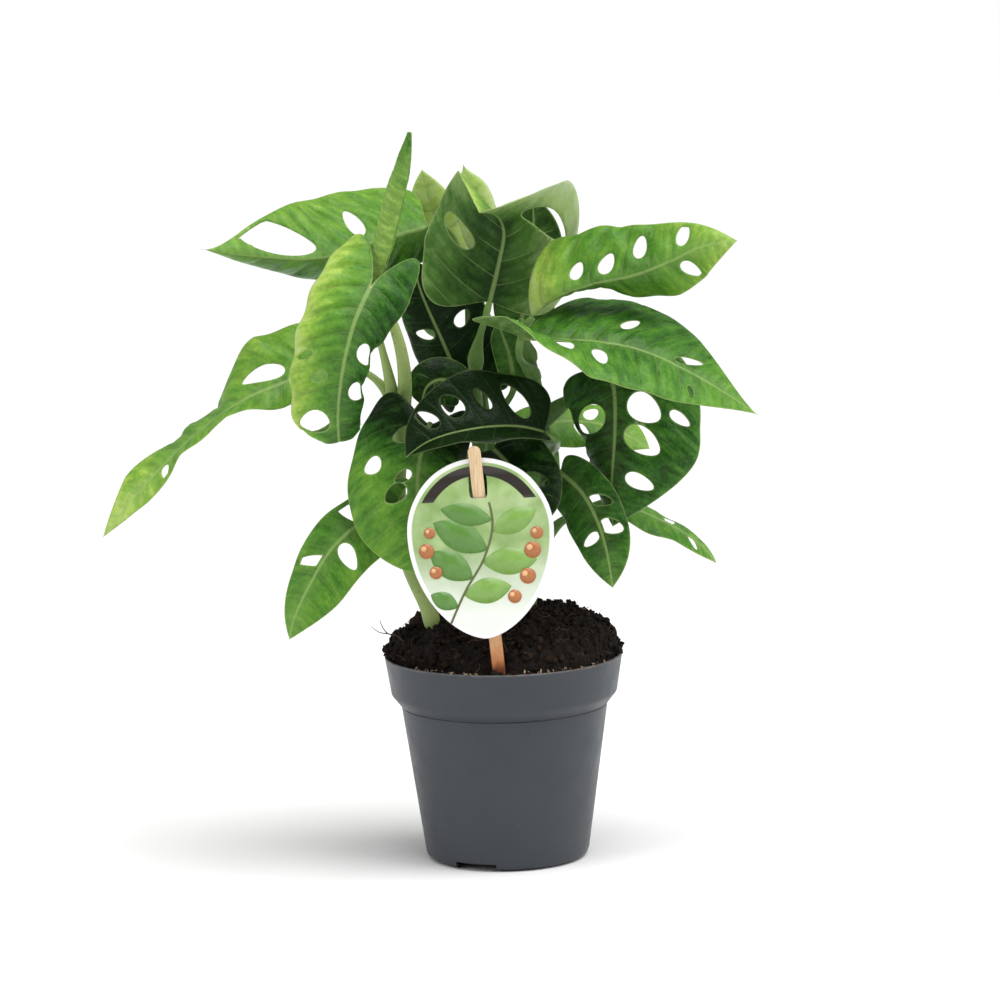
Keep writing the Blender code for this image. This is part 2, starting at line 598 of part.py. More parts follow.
def prism(outline, origin, axes, low, high):
    """A flat outline in the plane of the first two axes, made solid from low to high on the third."""
    across, along, normal = axes
    flat = origin + outline[:, :1] * across + outline[:, 1:] * along
    count = len(flat)
    sides = [(i, (i + 1) % count, count + (i + 1) % count, count + i) for i in range(count)]
    faces = [tuple(range(count))[::-1], tuple(range(count, 2 * count)), *sides]
    return np.vstack([flat + low * normal, flat + high * normal]), faces


def pot_wall(inset):
    """Radius and height up the pot's wall, from the base to the rim, moved in from the outside."""
    return [
        (BASE_RADIUS - inset, CORNER),
        (BODY_RADIUS - inset, BODY_TOP),
        (BAND_RADIUS - inset, BAND_TOP),
        (RIM_RADIUS - inset, POT_HEIGHT),
    ]


def build_pot():
    """The nursery pot: a thin turned shell with a deep band below its rim and three drain slots."""
    corner = [
        (BASE_RADIUS - CORNER * (1 - math.sin(turn)), CORNER * (1 - math.cos(turn)))
        for turn in (0, math.pi / 6, math.pi / 3)
    ]
    outer = pot_wall(0)
    inner = pot_wall(WALL)[::-1]
    rim = [
        (RIM_RADIUS, POT_HEIGHT - RIM_ROUND),
        (RIM_RADIUS - RIM_ROUND, POT_HEIGHT),
        (RIM_RADIUS - WALL + RIM_ROUND, POT_HEIGHT),
        (RIM_RADIUS - WALL, POT_HEIGHT - RIM_ROUND),
    ]
    floor = [(BASE_RADIUS - WALL - CORNER / 2, FLOOR), (0, FLOOR)]
    profile = [(0, 0), *corner, *outer[:-1], *rim, *inner[1:], *floor]
    pot = new_object("pot", *lathe(profile, POT_SEGMENTS), (0.07, 0.08, 0.095, 1), 0.42)
    near, far = SLOT_REACH
    half = SLOT_WIDTH / 2
    outline = np.array([(near, -half), (far, -half), (far, half), (near, half)])
    cutters = []
    for angle in SLOT_ANGLES:
        turn = math.radians(angle)
        axes = np.array([
            (math.cos(turn), math.sin(turn), 0), (-math.sin(turn), math.cos(turn), 0), (0, 0, 1),
        ])
        made = prism(outline, np.zeros(3), axes, -1, SLOT_HEIGHT)
        cutters.append(new_object("drain_slot_cutter", *made, (1, 1, 1, 1), 0.5))
    boolean(pot, cutters, "DIFFERENCE")
    shade(pot)


def soil_height(x, y):
    """The soil's surface: a flat-topped mound, under a few crossed waves."""
    left, right, front, back = MOUND_SIDES
    off_x, off_y = x - MOUND_MIDDLE[0], y - MOUND_MIDDLE[1]
    spread = (off_x / np.where(off_x < 0, left, right)) ** 2 + (off_y / np.where(off_y < 0, front, back)) ** 2
    mound = np.clip(1 - spread, 0, 1) ** MOUND_POWER
    lumps = (
        np.sin(0.31 * x + 1.1) * np.sin(0.27 * y + 0.4)
        + 0.6 * np.sin(0.53 * x - 0.47 * y)
        + 0.5 * np.sin(0.71 * x + 0.63 * y + 2)
    )
    return SOIL_EDGE + SOIL_RISE * mound + SOIL_LUMP * lumps * (0.3 + 0.7 * mound)


def build_soil(cutters):
    """The potting soil, which fills the pot and stands up in a mound, with holes for what is in it."""
    wall = pot_wall(WALL + GAP)
    bottom = [(0, FLOOR + GAP), (wall[0][0] - CORNER / 2, FLOOR + GAP)]
    rings = [(SOIL_RADIUS * share, 0) for share in np.linspace(1, 0, SOIL_RINGS + 1)]
    points, faces = lathe([*bottom, *wall[:-1], *rings], POT_SEGMENTS)
    first = (len(bottom) + len(wall) - 2) * POT_SEGMENTS
    top = np.r_[first:first + SOIL_RINGS * POT_SEGMENTS, len(points) - 1]
    points[top, 2] = soil_height(points[top, 0], points[top, 1])
    soil = new_object("soil", points, faces, (0.012, 0.008, 0.006, 1), 0.95)
    boolean(soil, cutters, "DIFFERENCE")


def stalk(stem_line, share, pull, meets, design):
    """A leaf stalk's line: it leaves along the stem and bends over to reach the blade's base."""
    rib, ahead, _, up = frame_of(design)
    place = int(share * (len(stem_line) - 1))
    start = stem_line[place]
    leave = unit(stem_line[place] - stem_line[place - 1])
    arrive = unit(meets[0] * up[0] + meets[1] * ahead[0])
    end = rib[0] - STALK_STAND_OFF * arrive
    reach = pull * np.linalg.norm(end - start)
    first, second = start + reach * leave, end - reach * arrive
    t = np.linspace(0, 1, STALK_POINTS)[:, None]
    return (
        (1 - t) ** 3 * start + 3 * (1 - t) ** 2 * t * first + 3 * (1 - t) * t**2 * second + t**3 * end
    )


def build_stems():
    """Each stem with its leaf stalks as one body. Returns the cutters of their holes in the soil."""
    cutters = []
    for name, design in STEMS.items():
        count = int(length_of(np.array(design["line"], float)) / 9)
        line = smooth(design["line"], count)
        stem = new_object(name, *tube(line, design["radii"], STEM_SIDES), GREENS["stem"], 0.45)
        fine = smooth(design["line"], 200)
        stalks = []
        for leaf_name, share, pull, meets in design["stalks"]:
            curve = stalk(fine, share, pull, meets, LEAVES[leaf_name])
            made = tube(curve, (STALK_START, STALK_END), STALK_SIDES)
            stalks.append(new_object(leaf_name + "_stalk", *made, GREENS["stem"], 0.45))
        boolean(stem, stalks, "UNION")
        shade(stem)
        cutters.append(stem_hole(line, design["radii"]))
    return cutters


def stem_hole(line, radii):
    """A cutter that follows the stem's foot, wider by the gap between its flat sides."""
    radii = np.interp(np.linspace(0, 1, len(line)), np.linspace(0, 1, len(radii)), radii)
    buried = line[:, 2] < HOLE_TOP
    foot = line[buried].copy()
    foot[0] += unit(line[0] - line[1]) * GAP
    wider = radii[buried] + GAP / math.cos(math.pi / STEM_SIDES)
    return new_object("stem_hole_cutter", *tube(foot, wider, STEM_SIDES), (1, 1, 1, 1), 0.5)


def build_rolled_leaf():
    """The newest leaf, still rolled in a slim cone that is widest near its foot."""
    line = smooth(ROLLED_LINE, 11)
    rolled = new_object("rolled_leaf", *tube(line, ROLLED_RADII, 10), GREENS["light"], 0.4)
    shade(rolled)


def label_axes(along):
    """Across, along and forward directions of the label's plane, for a piece that runs along this."""
    along = unit(np.array(along, float))
    forward = unit(np.cross((1, 0, 0), np.array(STICK_TOP) - STICK_FOOT))
    along = unit(along - (along @ forward) * forward)
    return np.cross(along, forward), along, forward


def stick_shape(grow):
    """The flat stick with a round top. Grown, it is the cutter of its hole in the soil."""
    along = np.array(STICK_TOP) - STICK_FOOT
    half = STICK_WIDTH / 2
    turn = np.linspace(0, math.pi, 7)
    tip = np.linalg.norm(along) - half
    top = np.stack([half * np.cos(turn), tip + half * np.sin(turn)], axis=1)
    outline = np.vstack([(-half, 0), (half, 0), top])
    outline[:, 0] += grow * np.sign(outline[:, 0])
    outline[:2, 1] -= grow
    depth = STICK_THICK / 2 + grow
    return prism(outline, np.array(STICK_FOOT), label_axes(along), -depth, depth)


def card_outline(count):
    """The card's edge: round above its widest place, and a blunt point below it."""
    turn = np.arange(count) * 2 * math.pi / count
    lower = np.sin(turn) < 0
    across = np.sign(np.cos(turn)) * np.abs(np.cos(turn)) ** np.where(lower, 1.2, 1)
    height = np.sin(turn) * np.where(lower, CARD_POINT, CARD_RADIUS)
    return np.stack([CARD_RADIUS * across, height - CARD_DROP], axis=1)


def build_label():
    """The stick, and the card that is threaded on it: behind it above the slot, in front below."""
    stick = new_object("label_stick", *stick_shape(0), (0.62, 0.43, 0.26, 1), 0.7)
    shade(stick)
    wide, tall = CARD_SLOT[0] / 2, CARD_SLOT[1] / 2
    slot = np.array([(-wide, -tall), (wide, -tall), (wide, tall), (-wide, tall)])
    outline = card_outline(36)
    creases = []
    for height in (-tall, tall):
        reach = np.abs(outline[np.abs(outline[:, 1] - height) < 6, 0]).min() - 2
        creases += [
            np.array([(-reach, height), (-wide - 2, height)]), np.array([(wide + 2, height), (reach, height)]),
        ]
    flat, triangles = flat_mesh(outline, [slot], 12, creases)
    across, along, forward = label_axes(CARD_LEAN)
    top = np.array(STICK_TOP)
    middle = top + SLOT_DROP * unit(np.array(STICK_FOOT) - top)
    step = -CARD_STEP * np.clip(flat[:, 1] / tall, -1, 1)
    points = middle + flat[:, :1] * across + flat[:, 1:] * along + step[:, None] * forward
    card = new_object("label_card", *thicken(points, triangles, CARD), (0.78, 0.82, 0.74, 1), 0.35)
    shade(card)


def build_leaves():
    for name, design in LEAVES.items():
        flat, triangles = leaf_flat(design, RIM_STEP, GRID_STEP, HOLE_CORNERS)
        points, faces = thicken(carry(flat, design), triangles, BLADE)
        shade(new_object(name, points, faces, GREENS[design["tone"]], 0.4))


def shade(item):
    """Smooth shading, kept sharp at edges that turn by more than 40 degrees."""
    item.data.shade_smooth()
    item.data.set_sharp_from_angle(angle=math.radians(40))


for existing in list(bpy.data.objects):
    bpy.data.objects.remove(existing)
build_pot()
holes = build_stems()
holes.append(new_object("stick_hole_cutter", *stick_shape(GAP), (1, 1, 1, 1), 0.5))
build_soil(holes)
build_leaves()
build_rolled_leaf()
build_label()
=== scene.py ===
import math

import bpy
import numpy as np
from mathutils import Matrix, Vector, geometry


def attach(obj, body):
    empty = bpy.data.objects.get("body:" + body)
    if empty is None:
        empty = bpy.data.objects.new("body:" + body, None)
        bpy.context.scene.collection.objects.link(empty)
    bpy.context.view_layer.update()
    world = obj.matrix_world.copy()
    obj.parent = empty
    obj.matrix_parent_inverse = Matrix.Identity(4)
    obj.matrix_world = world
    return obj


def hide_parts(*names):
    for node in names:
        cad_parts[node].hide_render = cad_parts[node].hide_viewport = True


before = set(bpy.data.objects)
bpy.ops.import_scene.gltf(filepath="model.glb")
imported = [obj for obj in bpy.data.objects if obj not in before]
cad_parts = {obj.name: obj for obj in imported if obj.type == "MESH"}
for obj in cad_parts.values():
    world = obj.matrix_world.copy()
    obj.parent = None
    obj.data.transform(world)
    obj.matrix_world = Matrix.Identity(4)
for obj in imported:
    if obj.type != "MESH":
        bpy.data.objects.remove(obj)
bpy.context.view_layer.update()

# Studio
# The plant stands on a plain white sweep, seen from a little above with a long lens, as a nursery
# photographs its stock. A broad light hangs above, a soft lamp stands at each side, and a pale room
# fills the shade.

CAMERA_AT = (0, -2.5, 0.592)
CAMERA_DOWN = math.radians(9.32)
CAMERA_ROLL = math.radians(1.3)
CAMERA_LENS = 181.98


def camera():
    """A long lens, pitched down and rolled: its right and up axes are turned by the roll angle."""
    right = np.array((1, 0, 0))
    ahead = np.array((0, math.cos(CAMERA_DOWN), -math.sin(CAMERA_DOWN)))
    up = np.array((0, math.sin(CAMERA_DOWN), math.cos(CAMERA_DOWN)))
    c, s = math.cos(CAMERA_ROLL), math.sin(CAMERA_ROLL)
    turn = Matrix((right * c - up * s, right * s + up * c, -ahead)).transposed()
    data = bpy.data.cameras.new("camera")
    data.lens, data.sensor_width = CAMERA_LENS, 36
    data.clip_start, data.clip_end = 0.05, 60
    made = bpy.data.objects.new("camera", data)
    made.matrix_world = Matrix.Translation(CAMERA_AT) @ turn.to_4x4()
    bpy.context.scene.collection.objects.link(made)
    bpy.context.scene.camera = made


def lamp(name, at, aim, size, power):
    """A square soft lamp that looks from its place to the aim point."""
    data = bpy.data.lights.new(name, "AREA")
    data.shape, data.size, data.energy = "SQUARE", size, power
    made = bpy.data.objects.new(name, data)
    back = Vector(at) - Vector(aim)
    made.matrix_world = Matrix.Translation(at) @ back.to_track_quat("Z", "Y").to_matrix().to_4x4()
    bpy.context.scene.collection.objects.link(made)


def sky_light(name, towards, spread, strength):
    """A far light as wide as the spread in degrees, that comes from the direction towards."""
    data = bpy.data.lights.new(name, "SUN")
    data.angle, data.energy = math.radians(spread), strength
    made = bpy.data.objects.new(name, data)
    made.matrix_world = Vector(towards).to_track_quat("Z", "Y").to_matrix().to_4x4()
    bpy.context.scene.collection.objects.link(made)


def material(name, rough=0.5, shine=0.5):
    """A new material, its node tree and its Principled shader."""
    made = bpy.data.materials.new(name)
    made.use_nodes = True
    shader = made.node_tree.nodes["Principled BSDF"]
    shader.inputs["Roughness"].default_value = rough
    shader.inputs["Specular IOR Level"].default_value = shine
    return made, made.node_tree, shader


camera()
lamp("lamp_left", (-1.7, -0.8, 0.95), (0, 0, 0.2), 1.6, 16)
lamp("lamp_right", (1.6, -0.5, 1.15), (0, 0, 0.2), 1.8, 21)
sky_light("light_above", (0.18, -0.14, 1.0), 50, 2.9)
world = bpy.data.worlds.new("room")
world.use_nodes = True
world.node_tree.nodes["Background"].inputs["Color"].default_value = (1, 1, 1, 1)
world.node_tree.nodes["Background"].inputs["Strength"].default_value = 0.3
bpy.context.scene.world = world
bpy.context.scene.view_settings.view_transform = "Standard"
floor_mesh = bpy.data.meshes.new("floor")
floor_mesh.from_pydata([(-20, -6, 0), (20, -6, 0), (20, 30, 0), (-20, 30, 0)], [], [(0, 1, 2, 3)])
floor = bpy.data.objects.new("floor", floor_mesh)
bpy.context.scene.collection.objects.link(floor)
sweep, _, sweep_shader = material("white_sweep", rough=0.9)
sweep_shader.inputs["Base Color"].default_value = (0.86, 0.86, 0.855, 1)
floor_mesh.materials.append(sweep)

# Pot
# A 12 cm nursery pot, injection moulded in blue-grey polypropylene about 1.3 mm thick. A deep band
# below the rim lets pots stack, and three drain slots are cut through the foot.

POT_OUTSIDE = [(36, 0), (38.2, 0.25), (39.9, 1.2), (40.9, 2.4), (41.3, 3.9), (51.95, 78.1), (51.7, 78.5),
               (52.4, 78.85), (56.5, 84.0), (56.9, 84.7), (57.1, 85.8), (59.75, 102.6), (59.9, 103.5),
               (59.6, 103.93), (59.2, 104), (58.85, 103.9)]
POT_INSIDE = [(58.6, 103.4), (55.7, 86.0), (50.7, 78.8), (39.9, 3.9), (38.1, 1.7), (36, 1.6)]
POT_TURNS = 200
SLOT_ANGLES = (246, 6, 126)
SLOT_REACH = (30, 50)
SLOT_WIDTH = 22
SLOT_HEIGHT = 4


def piece(name, points, faces, finish, node, slot, values=None, smooth=True):
    """A mesh in place, from points in millimetres and arrays of faces. values holds, for each attribute,
    one number a point."""
    mesh = bpy.data.meshes.new(name)
    corners = np.concatenate([np.ravel(part) for part in faces]).astype(np.int32)
    sizes = np.concatenate([np.full(len(part), np.shape(part)[1]) for part in faces])
    mesh.vertices.add(len(points))
    mesh.vertices.foreach_set("co", np.ravel(np.asarray(points) / 1000).astype(np.float32))
    mesh.loops.add(len(corners))
    mesh.loops.foreach_set("vertex_index", corners)
    mesh.polygons.add(len(sizes))
    mesh.polygons.foreach_set("loop_start", np.concatenate([[0], np.cumsum(sizes)[:-1]]).astype(np.int32))
    mesh.update(calc_edges=True)
    for key, numbers in (values or {}).items():
        mesh.attributes.new(key, "FLOAT", "POINT").data.foreach_set("value", np.asarray(numbers, np.float32))
    if smooth:
        mesh.shade_smooth()
    mesh.materials.append(finish)
    made = bpy.data.objects.new(name, mesh)
    bpy.context.scene.collection.objects.link(made)
    if node:
        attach(made, "root")
        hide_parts(node)
    return made


def ring_faces(rows, count):
    """Quads between rows of rings of count points, then the triangles that close both ends on two poles,
    the points that follow the rings."""
    around = np.arange(count)
    after = (around + 1) % count
    row = np.arange(rows - 1)[:, None] * count
    quads = np.stack([row + around, row + after, row + count + after, row + count + around], axis=-1)
    last = (rows - 1) * count
    low = np.stack([np.full(count, rows * count), after, around], axis=1)
    high = np.stack([last + around, last + after, np.full(count, rows * count + 1)], axis=1)
    return [quads.reshape(-1, 4), np.vstack([low, high])]


def circle(count):
    """The angles of even steps round a full turn."""
    return np.arange(count) * 2 * math.pi / count


def polar(radius, a, height):
    """Points (r cos a, r sin a, z): one for each a, or a grid where r and z are columns."""
    return np.stack(np.broadcast_arrays(radius * np.cos(a), radius * np.sin(a), height), axis=-1)


def turned(profile, count):
    """The profile's points (r, z) turned about the pot's axis, closed on both poles."""
    profile = np.array(profile, float)
    rings = polar(profile[:, :1], circle(count), profile[:, 1:]).reshape(-1, 3)
    points = np.vstack([rings, (0, 0, profile[0, 1]), (0, 0, profile[-1, 1])])
    return points, ring_faces(len(profile), count)


def rotated(flat, angle):
    """Flat points turned about the origin by an angle in degrees."""
    a = math.radians(angle)
    return flat @ np.array([(math.cos(a), math.sin(a)), (-math.sin(a), math.cos(a))])


def node(tree, kind, inputs=None, **settings):
    """A shader node with its settings, and its inputs as numbers, colours or sockets."""
    made = tree.nodes.new(kind)
    for key, value in settings.items():
        setattr(made, key, value)
    for key, value in (inputs or {}).items():
        socket = made.inputs[key]
        if isinstance(value, bpy.types.NodeSocket):
            tree.links.new(value, socket)
        else:
            socket.default_value = value
    return made


def noise(tree, scale, detail=3, rough=0.6, at=None):
    """Noise, 0 to 1, on the piece's own coordinates in metres."""
    if at is None:
        at = node(tree, "ShaderNodeTexCoord").outputs["Object"]
    settings = {"Vector": at, "Scale": scale, "Detail": detail, "Roughness": rough}
    return node(tree, "ShaderNodeTexNoise", settings).outputs["Fac"]


def ramp(tree, value, stops):
    """A colour or grey that changes with a value: stops are (place, colour)."""
    made = node(tree, "ShaderNodeValToRGB", {"Fac": value})
    elements = made.color_ramp.elements
    while len(elements) < len(stops):
        elements.new(0.5)
    for element, (place, colour) in zip(elements, stops):
        element.position = place
        element.color = (colour, colour, colour, 1) if isinstance(colour, (int, float)) else (*colour, 1)
    return made.outputs["Color"]


def blend(tree, factor, first, second):
    """Two colours mixed by a factor."""
    made = node(tree, "ShaderNodeMix", data_type="RGBA", clamp_factor=True)
    for socket, value in zip((made.inputs[0], made.inputs[6], made.inputs[7]), (factor, first, second)):
        if isinstance(value, bpy.types.NodeSocket):
            tree.links.new(value, socket)
        else:
            socket.default_value = (*value, 1) if isinstance(value, tuple) else value
    return made.outputs[2]


def maths(tree, operation, *values):
    """One Math node on numbers or sockets."""
    made = node(tree, "ShaderNodeMath", operation=operation)
    for socket, value in zip(made.inputs, values):
        if isinstance(value, bpy.types.NodeSocket):
            tree.links.new(value, socket)
        else:
            socket.default_value = value
    return made.outputs[0]


def weighted(tree, value, weight):
    """A value times a weight."""
    return maths(tree, "MULTIPLY", value, weight)


def coated(tree, colour, mask, share, coat):
    """A colour with another laid over it by a share, where the mask is 1."""
    return blend(tree, weighted(tree, mask, share), colour, coat)


def risen(tree, value, low, high):
    """0 where the value is at low, rising to 1 at high."""
    return node(tree, "ShaderNodeMapRange", {"Value": value, "From Min": low, "From Max": high}).outputs[0]


def bumped(tree, shader, height, distance):
    """Feeds a height in to the shader's normal through a Bump node."""
    made = node(tree, "ShaderNodeBump", {"Height": height, "Distance": distance})
    tree.links.new(made.outputs["Normal"], shader.inputs["Normal"])


def pot_plastic():
    """Satin blue-grey plastic: fine mould grain, faint scuffs, soil dust that clings in specks, a painted
    highlight that makes the top of the rim paler, broken up by noise, and brown soil along the rim."""
    finish, tree, shader = material("pot_plastic", shine=0.3)
    cloud = noise(tree, 38, 4)
    grain = noise(tree, 2600, 2)
    dust = ramp(tree, noise(tree, 420, 3, 0.75), [(0.66, 0.0), (0.74, 1.0)])
    colour = blend(tree, cloud, (0.035, 0.041, 0.049), (0.047, 0.053, 0.062))
    colour = coated(tree, colour, dust, 0.16, (0.16, 0.15, 0.14))
    place = node(tree, "ShaderNodeTexCoord").outputs["Object"]
    height = node(tree, "ShaderNodeSeparateXYZ", {"Vector": place}).outputs["Z"]
    rim = risen(tree, height, 0.1028, 0.1038)
    # Painted highlight: the top edge of the rim is painted paler, as where light catches it.
    rim_highlight = weighted(tree, rim, ramp(tree, noise(tree, 120, 3), [(0.35, 0.15), (0.6, 0.75)]))
    colour = blend(tree, rim_highlight, colour, (0.15, 0.15, 0.15))
    soiled = weighted(tree, rim, ramp(tree, noise(tree, 300, 3, 0.7), [(0.5, 0.0), (0.6, 0.9)]))
    colour = blend(tree, soiled, colour, (0.09, 0.05, 0.03))
    tree.links.new(colour, shader.inputs["Base Color"])
    scuff = ramp(tree, noise(tree, 90, 5, 0.7), [(0.35, 0.36), (0.7, 0.5)])
    tree.links.new(scuff, shader.inputs["Roughness"])
    bumped(tree, shader, grain, 0.00004)
    return finish


def box_cutter(angle):
    """A box that reaches through the wall and cuts one drain slot at this angle."""
    near, far, side = *SLOT_REACH, SLOT_WIDTH / 2
    flat = rotated(np.array([(near, -side), (far, -side), (far, side), (near, side)]), angle)
    points = np.vstack([np.column_stack([flat, np.full(4, level)]) for level in (-1, SLOT_HEIGHT)])
    faces = [np.array([(3, 2, 1, 0), (4, 5, 6, 7), (0, 1, 5, 4), (1, 2, 6, 5), (2, 3, 7, 6), (3, 0, 4, 7)])]
    return piece("slot_cutter", points, faces, pot_material, None, None, smooth=False)


def cut(item, cutters):
    """Takes the cutters out of an object and removes them."""
    for cutter in cutters:
        change = item.modifiers.new("cut", "BOOLEAN")
        change.object, change.operation, change.solver = cutter, "DIFFERENCE", "EXACT"
    graph = bpy.context.evaluated_depsgraph_get()
    finished = bpy.data.meshes.new_from_object(item.evaluated_get(graph))
    item.modifiers.clear()
    item.data = finished
    for cutter in cutters:
        bpy.data.objects.remove(cutter)


pot_material = pot_plastic()
pot = piece("nursery_pot", *turned(POT_OUTSIDE + POT_INSIDE, POT_TURNS), pot_material, "pot", "pot")
cut(pot, [box_cutter(angle) for angle in SLOT_ANGLES])
pot.data.shade_smooth()
pot.data.set_sharp_from_angle(angle=math.radians(38))

# Soil
# Damp peat compost, mounded round the stems and pressed down at the front. Crumbs, bark fibres and
# pale splinters lie on it, and one dry root sticks out over the rim at the left.

SOIL_SEED = 11
FIBRES = 420
PALE_FIBRES = 26
SOIL_EDGE = 102
SOIL_RISE = 24
SOIL_RADIUS = 57.6
SOIL_TURNS = 420
SOIL_RINGS = 150
SOIL_SKIRT = ((49.0, 79.0), (40.0, 6.0))
MOUND_MIDDLE = np.array((6.0, 10.0))
CRUMB_KINDS = 12
CRUMBS_SCATTERED = 184
CRUMBS_ON_RIM = 12
CRUMB_SIDES = 8
CRUMB_ROWS = 5
CHIPS = 48


def lattice(points, size, seed):
    """Smooth random values from -1 to 1: a random grid of the given cell size, eased between its nodes."""
    grid = np.random.default_rng(seed).uniform(-1, 1, (64, 64))
    scaled = np.asarray(points, float)[:, :2] / size + 500.5
    cell = np.floor(scaled).astype(int)
    part = scaled - cell
    part = part * part * (3 - 2 * part)
    x0, y0 = cell[:, 0] % 64, cell[:, 1] % 64
    x1, y1 = (x0 + 1) % 64, (y0 + 1) % 64
    low = grid[x0, y0] * (1 - part[:, 0]) + grid[x1, y0] * part[:, 0]
    high = grid[x0, y1] * (1 - part[:, 0]) + grid[x1, y1] * part[:, 0]
    return low * (1 - part[:, 1]) + high * part[:, 1]


def soil_height(points):
    """Height of the soil: a flat-topped mound on the CAD's crossed waves, with clods and crumbs on top.

    The mound is (1 - d)^0.4 where d is the squared distance from its middle in half widths.
    """
    x, y = points[:, 0], points[:, 1]
    off = points[:, :2] - MOUND_MIDDLE
    wide = np.where(off < 0, (66, 60), (54, 50))
    mound = np.clip(1 - ((off / wide) ** 2).sum(axis=1), 0, 1) ** 0.4
    waves = (np.sin(0.31 * x + 1.1) * np.sin(0.27 * y + 0.4) + 0.6 * np.sin(0.53 * x - 0.47 * y)
             + 0.5 * np.sin(0.71 * x + 0.63 * y + 2))
    clods = 1.7 * lattice(points, 7.5, 1) + 1.6 * lattice(points, 3.4, 2)
    crumbs = 1.5 * np.abs(lattice(points, 1.9, 3)) + 0.7 * lattice(points, 1.0, 4) - 1.2
    inside = np.clip((58.2 - np.hypot(x, y)) / 4, 0, 1)
    rough = 1.3 * waves * (0.3 + 0.7 * mound) + (clods + crumbs) * (0.35 + 0.65 * inside)
    return SOIL_EDGE + SOIL_RISE * mound + rough


def soil_surface():
    """A disc of rings out to the pot's wall, lifted to the soil's height, with a skirt of two rings down
    inside the wall and a flat bottom."""
    turns = SOIL_TURNS
    share = np.linspace(1, 0.004, SOIL_RINGS) ** 0.9
    points, (quads, fans) = turned(np.column_stack([SOIL_RADIUS * share, np.zeros(SOIL_RINGS)]), turns)
    top = points[:-2]
    top[:, 2] = soil_height(top)
    points[-1, 2] = soil_height(points[-1:])[0]
    points[-2] = (0, 0, SOIL_SKIRT[-1][1])
    ring = top[:turns, :2] / SOIL_RADIUS
    skirt = [np.column_stack([ring * radius, np.full(turns, level)]) for radius, level in SOIL_SKIRT]
    first = len(points)
    around = np.arange(turns)
    after = (around + 1) % turns
    upper = np.stack([first + around, first + after, after, around], axis=1)
    lower = np.stack([around, after, after - turns, around - turns], axis=1) + first + turns
    fans[:turns] = np.stack([np.full(turns, len(top)), first + turns + after, first + turns + around], axis=1)
    return np.vstack([points, *skirt]), [np.vstack([quads, upper, lower]), fans]


def copies(shape, faces, at, turns, sizes):
    """One small shape repeated: each copy turned by its own matrix, scaled, and moved to its place."""
    points = np.einsum("nij,pj->npi", turns * sizes[:, None, None], shape) + at[:, None]
    step = np.arange(len(at))[:, None, None] * len(shape)
    return points.reshape(-1, 3), [(part[None] + step).reshape(-1, part.shape[1]) for part in faces]


def random_turns(random, count):
    """Random rotation matrices, from unit quaternions."""
    w, x, y, z = unit(random.normal(size=(count, 4))).T
    rows = [1 - 2 * (y * y + z * z), 2 * (x * y - z * w), 2 * (x * z + y * w),
            2 * (x * y + z * w), 1 - 2 * (x * x + z * z), 2 * (y * z - x * w),
            2 * (x * z - y * w), 2 * (y * z + x * w), 1 - 2 * (x * x + y * y)]
    return np.stack(rows, axis=1).reshape(-1, 3, 3)


def crumb(seed):
    """A small irregular lump: a ball of few faces whose radius is changed by three crossed sine waves."""
    a, b = np.meshgrid(circle(CRUMB_SIDES), np.linspace(0.5, math.pi - 0.5, CRUMB_ROWS))
    radius = 1 + 0.3 * np.sin(2 * a + seed) * np.sin(3 * b) + 0.22 * np.sin(3 * a + 2 * seed + b)
    points = polar(radius * np.sin(b), a, radius * np.cos(b)).reshape(-1, 3)
    points = np.vstack([points, (0, 0, 1), (0, 0, -1)])
    sides, caps = ring_faces(CRUMB_ROWS, CRUMB_SIDES)
    return points, [sides[:, ::-1], caps[:, ::-1]]


def smooth(points, count):
    """A smooth curve through the points as count even samples. Each span is a cubic whose end slopes are
    the means of the chords on their two sides."""
    points = np.asarray(points, float)
    chord = np.linalg.norm(np.diff(points, axis=0), axis=1)
    knots = np.concatenate([[0], np.cumsum(chord)])
    slopes = np.diff(points, axis=0) / chord[:, None]
    middle = (slopes[:-1] + slopes[1:]) / 2
    ends = np.vstack([1.5 * slopes[:1] - 0.5 * middle[:1], middle, 1.5 * slopes[-1:] - 0.5 * middle[-1:]])
    at = np.linspace(0, knots[-1], 60 * len(points))
    span = np.clip(np.searchsorted(knots, at, side="right") - 1, 0, len(chord) - 1)
    step = chord[span][:, None]
    t = (at - knots[span])[:, None] / step
    fine = (points[span] * (2 * t**3 - 3 * t**2 + 1) + points[span + 1] * (3 * t**2 - 2 * t**3)
            + ends[span] * step * (t**3 - 2 * t**2 + t) + ends[span + 1] * step * (t**3 - t**2))
    return even(fine, count)


def even(line, count):
    """The same line as count points an even distance apart."""
    line = np.asarray(line, float)
    run = np.concatenate([[0], np.cumsum(np.linalg.norm(np.diff(line, axis=0), axis=1))])
    return np.stack([np.interp(np.linspace(0, run[-1], count), run, column) for column in line.T], axis=1)


def stretched(numbers, count):
    """A short list of numbers as count even samples of the line through them."""
    return np.interp(np.linspace(0, 1, count), np.linspace(0, 1, len(numbers)), numbers)


def unit(vectors):
    """The same directions with length one."""
    return vectors / np.linalg.norm(vectors, axis=-1, keepdims=True)


def length_of(line):
    """The length of a line of points."""
    return float(np.linalg.norm(np.diff(line, axis=0), axis=1).sum())


